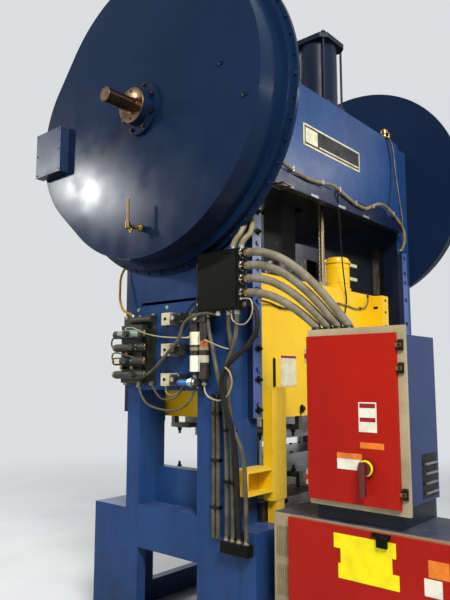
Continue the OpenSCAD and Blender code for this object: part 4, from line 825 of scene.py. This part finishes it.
@shape("frame", [zinc, white_plate, blue_plastic, valve_iron], bevel=1.2)
def filter_trim(bm):
    # Gauge dial, drain cocks, the blue knob and the pale coupling beside it
    lathe(bm, (-1302, -324, 1946), LEFT, [(0, 22), (16, 22), (18, 20), (18, 17), (14, 16)], 32)
    lathe(bm, (-1316, -324, 1946), LEFT, [(0, 16), (1, 16)], 32, 1)
    for y, z in ((-288, 1602), (-362, 1560)):
        lathe(bm, (-1264, y, z), DOWN, [(-4, 15), (12, 15)], 6)
    rod(bm, (-1292, -262, 1564), (-1292, -186, 1564), 19, 24, 2)
    lathe(bm, (-1292, -186, 1564), REAR, [(0, 15), (12, 15), (14, 12)], 24, 2)
    lathe(bm, (-1292, -262, 1566), FRONT, [(0, 24), (10, 24), (12, 30), (40, 30), (42, 22), (58, 22)], 8)
    rod(bm, (-1292, -300, 1566), (-1240, -300, 1566), 12)
    block(bm, (-1244, -322, 1540), (UPRIGHT_X, -250, 1592), 3)


@shape("frame", [zinc, brass, green_enamel, coil_ivory])
def bank_trim(bm):
    for y in (120, 250, 380):
        for z in (1560, 1990):
            bolt(bm, (-1234, y, z), LEFT, 13)
    for z in (1612, 1698, 1785, 1871):
        for y in (112, 388):
            lathe(bm, (-1310, y, z), (0, 1 if y > 250 else -1, 0), [(-6, 24), (16, 24), (19, 20)], 6, 1)
        screw(bm, (-1336, 215, z), LEFT, 6)
    for y in (-270, 0, 270):
        for z in (1540, 2036):
            bolt(bm, (-1224, y, z), LEFT, 13)
    # A pale green sleeve on the top valve, ivory tags and brass silencers below
    rod(bm, (-1310, 150, 1871), (-1310, 352, 1871), 28.5, 32, 2)
    for y, z in ((168, 1785), (326, 1698), (176, 1612)):
        block(bm, (-1341, y, z - 15), (-1334, y + 44, z + 15), 3)
    for y, z in ((250, 1742), (300, 1656), (200, 1656)):
        rod(bm, (-1300, y, z), (-1336, y, z), 9, 16, 1)
        lathe(bm, (-1334, y, z), LEFT, [(0, 13), (9, 13)], 6, 1)


@shape("frame", [olive_sheath, dark_bolt], bevel=1.0)
def upright_conduits(bm):
    for y in (-406, -440):
        rod(bm, (-1232, y, 700), (-1232, y, 1480), 12)
        lathe(bm, (-1232, y, 1472), UP, [(0, 16), (22, 16), (26, 13)], 6, 1)
    for z in (1380, 1120, 860):
        block(bm, (-1247, -456, z), (UPRIGHT_X, -390, z + 16), 1)

# Gear guards


def drum_route(extra, count):
    """Points spaced round a guard's outline, in Y and Z."""
    reach = math.hypot(BULGE_BACK, BULGE_DROP)
    lean = math.atan2(-BULGE_DROP, BULGE_BACK)
    spread = math.acos((GUARD_R - BULGE_R) / reach)

    def arc(y, z, radius, start_at, turn, steps):
        angles = (start_at + turn * k / steps for k in range(steps + 1))
        return [(y + radius * math.cos(a), z + radius * math.sin(a)) for a in angles]

    def straight(near, far):
        return [tuple(p + (q - p) * k / 40 for p, q in zip(near, far)) for k in range(1, 40)]

    drum = arc(0, 0, GUARD_R + extra, lean + spread, 2 * math.pi - 2 * spread, 400)[:-1]
    bulge = arc(BULGE_BACK, -BULGE_DROP, BULGE_R + extra, lean - spread, 2 * spread, 240)
    line = drum + straight(drum[-1], bulge[0]) + bulge + straight(bulge[-1], drum[0])
    run = [0.0]
    for p, q in zip(line, line[1:] + line[:1]):
        run.append(run[-1] + math.dist(p, q))
    out, k = [], 0
    for i in range(count):
        while run[k + 1] < run[-1] * i / count:
            k += 1
        out.append(line[k])
    return out


def flange_bolts(side):
    def build(bm):
        for y, z in drum_route(63, 52):
            z += SHAFT_Z
            # The junction box stands over a few on the left
            if side < 0 and BOX_Y0 - 20 < y < BOX_Y1 + 20 and z < BOX_Z1 + 30:
                continue
            bolt(bm, (side * (GUARD_BACK + 12), y, z), (side, 0, 0), 13)
    return build


for side, word in ((-1, "left"), (1, "right")):
    piece(word + "_guard_bolts", "frame", shaded_guard_enamel, flange_bolts(side))


@shape("frame", [dark_bolt, shaft_steel])
def seal_ring(bm):
    for k in range(8):
        a = math.pi / 8 + k * math.pi / 4
        bolt(bm, (-GUARD_FACE - 24, 143 * math.cos(a), SHAFT_Z + 143 * math.sin(a)), LEFT, 22)
    lathe(bm, (-GUARD_FACE - 74, 0, SHAFT_Z), LEFT, [(0, 113), (5, 113), (9, 109), (9, 66), (3, 52)], 48, 1)
    for k in range(4):
        a = k * math.pi / 2
        screw(bm, (-GUARD_FACE - 82, 88 * math.cos(a), SHAFT_Z + 88 * math.sin(a)), LEFT, 7)


@shape("frame", brass, bevel=1.0)
def gauge_elbow(bm):
    lathe(bm, (-1498, -10, 2500), (0, -0.97, -0.22),
          [(0, 17), (26, 17), (27, 23), (46, 23), (50, 17), (66, 15)], 8)
    rod(bm, (-1474, -10, 2500), (-1500, -10, 2500), 15, 16)
    lathe(bm, (-1544, -10, 2486), DOWN, [(0, 13), (14, 13), (16, 9), (26, 9)], 6)


@shape("frame", shaded_guard_enamel)
def guard_plugs(bm):
    for y, z in ((-670, 80), (-842, -158)):
        lathe(bm, (-GUARD_FACE, y, SHAFT_Z + z), LEFT, [(0, 20), (5, 20), (7, 17)])
        lathe(bm, (-GUARD_FACE, y, SHAFT_Z + z), LEFT, [(6, 12), (16, 12), (18, 10)], 6)


@shape("frame", cover_enamel)
def cover_trim(bm):
    x = -GUARD_FACE - 66
    for y in (790, 1052):
        for z in (3048, 3192, 3336):
            screw(bm, (x, y, z), LEFT, 6)

# Crown


@shape("frame", [cream_plate, black_plate, zinc], bevel=0.2)
def crown_plate(bm):
    y = -CROWN_Y
    block(bm, (-506, y - 3, 3180), (276, y + 0.5, 3338))
    block(bm, (-494, y - 3.6, 3192), (264, y - 2.8, 3326), 1)
    block(bm, (-482, y - 4.0, 3206), (-330, y - 3.4, 3312))
    block(bm, (-306, y - 4.0, 3206), (252, y - 3.4, 3216))
    for x in (-500, 270):
        for z in (3186, 3332):
            screw(bm, (x, y - 3, z), FRONT, 5, 2)


@shape("frame", [aluminium, zinc])
def lip_tags(bm):
    for x in (-758, -457, -91, 278):
        block(bm, (x, LIP_Y - 2, LIP_BOTTOM + 1), (x + 96, LIP_Y + 0.5, LIP_BOTTOM + 19))
        for end in (6, 90):
            screw(bm, (x + end, LIP_Y - 2, LIP_BOTTOM + 10), FRONT, 3, 1)


@shape("frame", plate_steel, bevel=1.5)
def lifting_eye(bm):
    """A flat eye plate under the tie bar's left end."""
    block(bm, (-884, LIP_Y + 4, LIP_BOTTOM - 6), (-726, -540, LIP_BOTTOM))
    for y in (-652, -560):
        block(bm, (-858, y, LIP_BOTTOM - 18), (-752, y + 14, LIP_BOTTOM - 6))
    for x in (-858, -766):
        block(bm, (x, -638, LIP_BOTTOM - 18), (x + 14, -560, LIP_BOTTOM - 6))


@shape("frame", [brass, zinc], bevel=0.8)
def crown_fittings(bm):
    for x, z in ((-697, 2944), (-332, 2942), (-102, 2946), (134, 2896), (407, 2932), (766, 2945)):
        block(bm, (x - 9, -621, z - 17), (x + 9, -CROWN_Y + 1, z + 17), 1)
        screw(bm, (x, -621, z), FRONT, 5, 1)
    gland(bm, (-908, -595, 2987), (1, -0.05, -0.22), 17, 1, 1)
    gland(bm, (1020, -532, 2680), FRONT, 15, 1)
    # The oil fitting on the front top edge
    lathe(bm, (762, -560, CROWN_TOP), UP, [(-2, 34), (10, 34)], 6)
    lathe(bm, (762, -560, CROWN_TOP + 8), UP,
          [(0, 22), (26, 22), (32, 30), (58, 30), (66, 20), (74, 12)], 20)
    rod(bm, (762, -560, CROWN_TOP + 30), (762, -606, CROWN_TOP + 30), 11, 16)
    rod(bm, (762, -598, CROWN_TOP + 36), (762, -598, CROWN_TOP - 8), 9, 16)

# Keepers


@shape("frame", [dark_plastic, dark_bolt], bevel=1.5)
def keeper_stop(bm):
    """The small stop that carries the slide's lead, and the left keepers' adjusting bolts."""
    block(bm, (-1058, -592, 2096), (-1022, -573, 2128))
    for z in (2596, 2472, 2283, 2112, 1763, 1582, 1405):
        # An adjusting bolt with its lock nut stands beside each fixing bolt
        for way in (-1, 1):
            bolt(bm, (-1026, way * CROWN_Y, z), (0, way, 0), 25, 1)
            rod(bm, (-1026, way * CROWN_Y, z), (-1026, way * (CROWN_Y + 30), z), 8, 14, 1)
            block(bm, (-1060, way * CROWN_Y, z - 7), (-1030, way * (CROWN_Y + 9), z + 7), 1)


@shape("frame", strip_enamel, bevel=2)
def keeper_top(bm):
    """The packing strip above the right front keeper."""
    block(bm, (990, -CROWN_Y, 2446), (1076, -532, 2652))
    for z in (2480, 2616):
        bolt(bm, (1026, -CROWN_Y, z), FRONT, 25)

# Slide


@shape("ram", [cream_plate, red_plate, zinc])
def slide_plate(bm):
    y = -SLIDE_Y
    block(bm, (-601, y - 2.5, 1536), (-427, y + 0.5, 1740))
    block(bm, (-601, y - 3.1, 1722), (-427, y - 2.4, 1738), 1)
    for x in (-592, -436):
        for z in (1545, 1715):
            screw(bm, (x, y - 2.5, z), FRONT, 4, 2)


@shape("ram", [dark_bolt, black_plate], bevel=0.6)
def slide_trim(bm):
    y = -SLIDE_Y
    for x in (-880, -620, -360, -100, 160, 420, 680, 880):
        for way in (-1, 1):
            bolt(bm, (x, way * SLIDE_Y, 1384), (0, way, 0), 30)
    # Painted shade in the pointer's slot, drawn as a black sheet; four screws on the bracket and a dark
    # plate on its side
    block(bm, (-688, y - 0.8, 1535), (-657, y + 0.4, 1713), 1)
    for z in (1920, 2010, 2120, 2215):
        screw(bm, (694, y - 118, z), FRONT, 9)
    block(bm, (637, y - 80, 2146), (641, y - 44, 2166))
    # Clips that hold the keeper's lead against the slide
    for x, z in ((-612, 2055), (-440, 2057)):
        block(bm, (x - 5, y - 14, z - 9), (x + 5, y + 1, z + 9), 1)


@shape("ram", dark_bolt, bevel=0.8)
def slide_clips(bm):
    for x in (120, 477):
        block(bm, (x - 8, -SLIDE_Y - 16, 2130), (x + 8, -SLIDE_Y + 1, 2150))
    lathe(bm, (620, -SLIDE_Y - 1, 2258), DOWN, [(-4, 12), (16, 12)], 6)


@shape("ram", [yellow_enamel, dark_bolt, coil_ivory])
def barrel_trim(bm):
    x, y = 330, -322
    for z in (60, 180):
        lathe(bm, (x, y, SLIDE_TOP + z), UP, [(0, 100), (0, 101.5), (7, 101.5), (7, 100)], 48)
    for k in range(6):
        a = k * math.pi / 3
        bolt(bm, (x + 84 * math.cos(a), y + 84 * math.sin(a), SLIDE_TOP + 241), UP, 15, 1)
    # Two square bars stand out on its right
    for z in (2398, 2512):
        block(bm, (430, -336, z - 13), (632, -310, z + 13), 2)
        lathe(bm, (632, -323, z), RIGHT, [(0, 19), (14, 19)], 6, 1)

# Dies


def clamps(name, body, low, high, face, gap_top, way_up):
    """Strap clamps over the T-slots: a strap, its heel block and a nut with its stud."""
    def build(bm):
        for x in (-740, -370, 0, 370, 740):
            outer, hand = abs(x) > 700, 1 if x > 0 else -1
            for way in (-1, 1):
                # The outer straps are longer, and wider towards the die
                near, heel, end = way * (250 if outer else 300), way * 392, way * 426
                block(bm, (x + 24 * hand, near, low), (x - (50 if outer else 24) * hand, end, high))
                block(bm, (x - 22, heel, face), (x + 22, end, gap_top))
                at = (x, way * 362, high if way_up > 0 else low)
                bolt(bm, at, (0, 0, way_up), 30, 1)
                rod(bm, at, (x, way * 362, at[2] + way_up * 44), 9, 16, 1)
    piece(name, body, [plate_steel, dark_bolt], build, bevel=2)


clamps("die_clamps", "frame", 930, 962, BOLSTER_TOP, 931, 1)
clamps("upper_clamps", "ram", 1244, 1276, SLIDE_BOTTOM, 1275, -1)


@shape("frame", dark_bolt)
def die_screws(bm):
    for x in range(-480, 481, 120):
        for y in (-170, 170):
            screw(bm, (x, y, 1050), UP, 12)

# Counterbalance


def cylinder_caps(side):
    def build(bm):
        y0 = side * 390
        for dx in (-127, 127):
            for dy in (-127, 127):
                bolt(bm, (dx, y0 + dy, 4184), UP, 28)
                bolt(bm, (dx, y0 + dy, CROWN_TOP + 40), UP)
        # Air elbow on the cap, and the pipe down its side to the crown
        lathe(bm, (-30, y0, 4198), UP, [(-2, 22), (26, 22), (30, 17), (44, 17)], 6, 1)
        route = [(x, y0 + side * out, z) for x, out, z in (
            (-30, 0, 4236), (-30, 0, 4262), (20, 14, 4272), (110, 30, 4262), (186, 40, 4210),
            (196, 42, 4080), (196, 42, 3800), (196, 42, 3650), (196, 42, 3606))]
        tube(bm, even_path(smooth_path(route), 12), 11, 14, 2)
        lathe(bm, (196, y0 + side * 42, CROWN_TOP - 1), UP, [(0, 20), (20, 20), (24, 16)], 6, 1)
    return build


for side, word in ((-1, "front"), (1, "rear")):
    piece(word + "_cylinder_trim", "frame", [dark_bolt, brass, zinc], cylinder_caps(side))

# Doors and cabinets


@shape("frame", [dark_bolt, bronze], bevel=1.0)
def door_clamps(bm):
    """Screw clamps on the flange beside the door."""
    for y, z in ((-1558, 1744), (-1558, 1637), (-1558, 1069)):
        block(bm, (-1226, y - 13, z - 26), (-1215, y + 13, z + 26))
        block(bm, (-1240, y - 9, z - 9), (-1226, y + 20, z + 9), 1)
        screw(bm, (-1240, y, z), LEFT, 7)


@shape("frame", [aluminium, black_plate])
def side_louvres(bm):
    """Pressed louvres low on the cabinet's front side, over a black sheet that is painted shade in the
    opening.
    """
    block(bm, (-985, DOOR_Y0 - 1.5, 1012), (-812, DOOR_Y0 + 0.5, 1222), 1)
    for k in range(4):
        z = 1030 + 46 * k
        hood = [(DOOR_Y0 - 2 - 14 * math.sin(a), z + 13 * (1 - math.cos(a)))
                for a in (math.pi * i / 10 for i in range(6))]
        hood.append((DOOR_Y0 - 2, hood[-1][1]))
        skin(bm, [[bm.verts.new(Vector((x, *p)) * MM) for p in hood] for x in (-965, -832)])


@shape("upper_door", [white_plate, orange_plate, red_plate])
def door_plates(bm):
    # Each: how far it stands out and goes in, two sides, bottom, top and which plate it is
    for out, back, y0, y1, z0, z1, m in ((1.5, 0.3, -1435, -1341, 1337, 1477, 0),
                                         (2.1, -1.2, -1429, -1347, 1450, 1471, 2),
                                         (2.1, -1.2, -1429, -1347, 1385, 1405, 2),
                                         (1.5, 0.3, -1468, -1345, 1261, 1289, 1),
                                         (1.5, 0.3, -1352, -1219, 1156, 1233, 0),
                                         (1.9, -1.2, -1352, -1219, 1206, 1233, 1)):
        block(bm, (DOOR_X - out, y0, z0), (DOOR_X + back, y1, z1), m)


@shape("handle", yellow_plate)
def handle_ring(bm):
    lathe(bm, (DOOR_X - 12, HANDLE_Y, HANDLE_Z), LEFT, [(0, 33), (0, 37.5), (7, 37.5), (9, 33)], 40)


@shape("lower_door", [yellow_plate, orange_plate, white_plate, black_plate])
def base_plates(bm):
    x = DOOR_X
    for y0, y1, z0, z1, m in ((-1510, -1190, 785, 853, 0), (-1490, -1226, 717, 785, 0),
                              (-1522, -1212, 649, 717, 0), (-1750, -1658, 739, 811, 1),
                              (-1717, -1637, 659, 732, 2)):
        block(bm, (x - 1.5, y0, z0), (x + 0.3, y1, z1), m)
    for y in (-1846, -958):
        for z in (76, 460):
            screw(bm, (x, y, z), LEFT, 9, 3)


@shape("lower_door", black_enamel, bevel=2)
def base_hasp(bm):
    """A black pressed hasp over the base door's latch."""
    block(bm, (DOOR_X - 16, -1471, 824), (DOOR_X + 0.5, -1419, 874))
    block(bm, (DOOR_X - 10, -1486, 866), (DOOR_X + 0.5, -1392, 885))
    for y in (-1478, -1400):
        screw(bm, (DOOR_X - 10, y, 876), LEFT, 5)


@shape("frame", beige_enamel)
def louvre_blades(bm):
    for row in range(4):
        z0 = 110 + 190 * row
        for k in range(6):
            y = -900 + 12 * k
            block(bm, (-1219.5, y - 4.5, z0), (-1214, y - 2.5, z0 + 150))

# Motor and the rear


@shape("frame", [motor_paint, dark_bolt])
def motor_trim(bm):
    for r in (60, 90, 120, 150):
        lathe(bm, (850, BACK_Y, MOTOR_Z), LEFT, [(0, r), (4, r), (4, r - 7), (0, r - 7)], 48)
    for y in (-150, 150):
        for x in (990, 1260):
            bolt(bm, (x, BACK_Y + y, 2035), UP, 22, 1)

# Lamps, backdrop and floor

BACKDROP = "#dcdee0"


def lamp(name, at, look, size, power):
    """A white disk lamp turned to a point; size in metres, power in watts."""
    data = bpy.data.lights.new(name, "AREA")
    data.shape = "DISK"
    data.size = size
    data.energy = power
    made = bpy.data.objects.new(name, data)
    made.location = at
    made.rotation_euler = (Vector(look) - Vector(at)).to_track_quat("-Z", "Y").to_euler()
    scene.collection.objects.link(made)


lamp("key_lamp", (-4.8, -5.4, 7.0), (-0.6, -0.6, 1.8), 2.6, 880)
lamp("front_lamp", (4.9, -5.3, 5.4), (0, -0.5, 2.2), 0.8, 50)
lamp("crown_glow", (4.65, -3.9, 5.0), (-0.45, -0.57, 3.2), 0.45, 13)
lamp("rear_lamp", (2.5, 6.5, 5.5), (0, 0, 2.4), 4.0, 230)
lamp("guard_glow", (-4.9, 5.2, 4.6), (-1.473, 0.495, 2.83), 0.5, 150)

world = bpy.data.worlds.new("studio")
scene.world = world
world.use_nodes = True
tree = world.node_tree
tree.nodes.clear()
rays = add(tree, "ShaderNodeLightPath").outputs
seen = add(tree, MATH, {0: rays["Is Camera Ray"], 1: rays["Is Glossy Ray"]}, operation="MAXIMUM")
seen = add(tree, MATH, {0: seen, 1: rays["Is Transmission Ray"]}, operation="MAXIMUM")
dome = add(tree, "ShaderNodeBackground", {"Color": "#eceef0", "Strength": 0.36})
backdrop = add(tree, "ShaderNodeBackground", {"Color": BACKDROP})
sky = add(tree, "ShaderNodeMixShader", {0: seen, 1: dome, 2: backdrop})
add(tree, "ShaderNodeOutputWorld", {"Surface": sky})

floor_mesh = bpy.data.meshes.new("floor")
floor_mesh.from_pydata([(-40, -40, 0), (40, -40, 0), (40, 40, 0), (-40, 40, 0)], [], [(0, 1, 2, 3)])
floor = bpy.data.objects.new("floor", floor_mesh)
floor.location.z = -0.0005
scene.collection.objects.link(floor)
# Sealed pale concrete: matt and faintly cloudy, and further out it runs into the backdrop
sealed_concrete, tree, shader, place = start("sealed_concrete", {"IOR": 1.45})
cloudy = patches(tree, place, 1250, 0.3, 0.7)
stained(tree, shader, "#d6d7d8", [("#cbccce", cloudy)])
roughen(tree, shader, cloudy, 0.6, 0.75)
away = add(tree, "ShaderNodeVectorMath", {0: place}, operation="LENGTH").outputs["Value"]
fade = add(tree, RANGE, {"Value": away, "From Min": 3.5, "From Max": 9.0}, interpolation_type="SMOOTHSTEP")
far = add(tree, "ShaderNodeEmission", {"Color": BACKDROP})
both = add(tree, "ShaderNodeMixShader", {0: fade, 1: shader, 2: far})
tree.links.new(both.outputs[0], tree.nodes["Material Output"].inputs["Surface"])
floor_mesh.materials.append(sealed_concrete)

scene.view_settings.view_transform = "Standard"
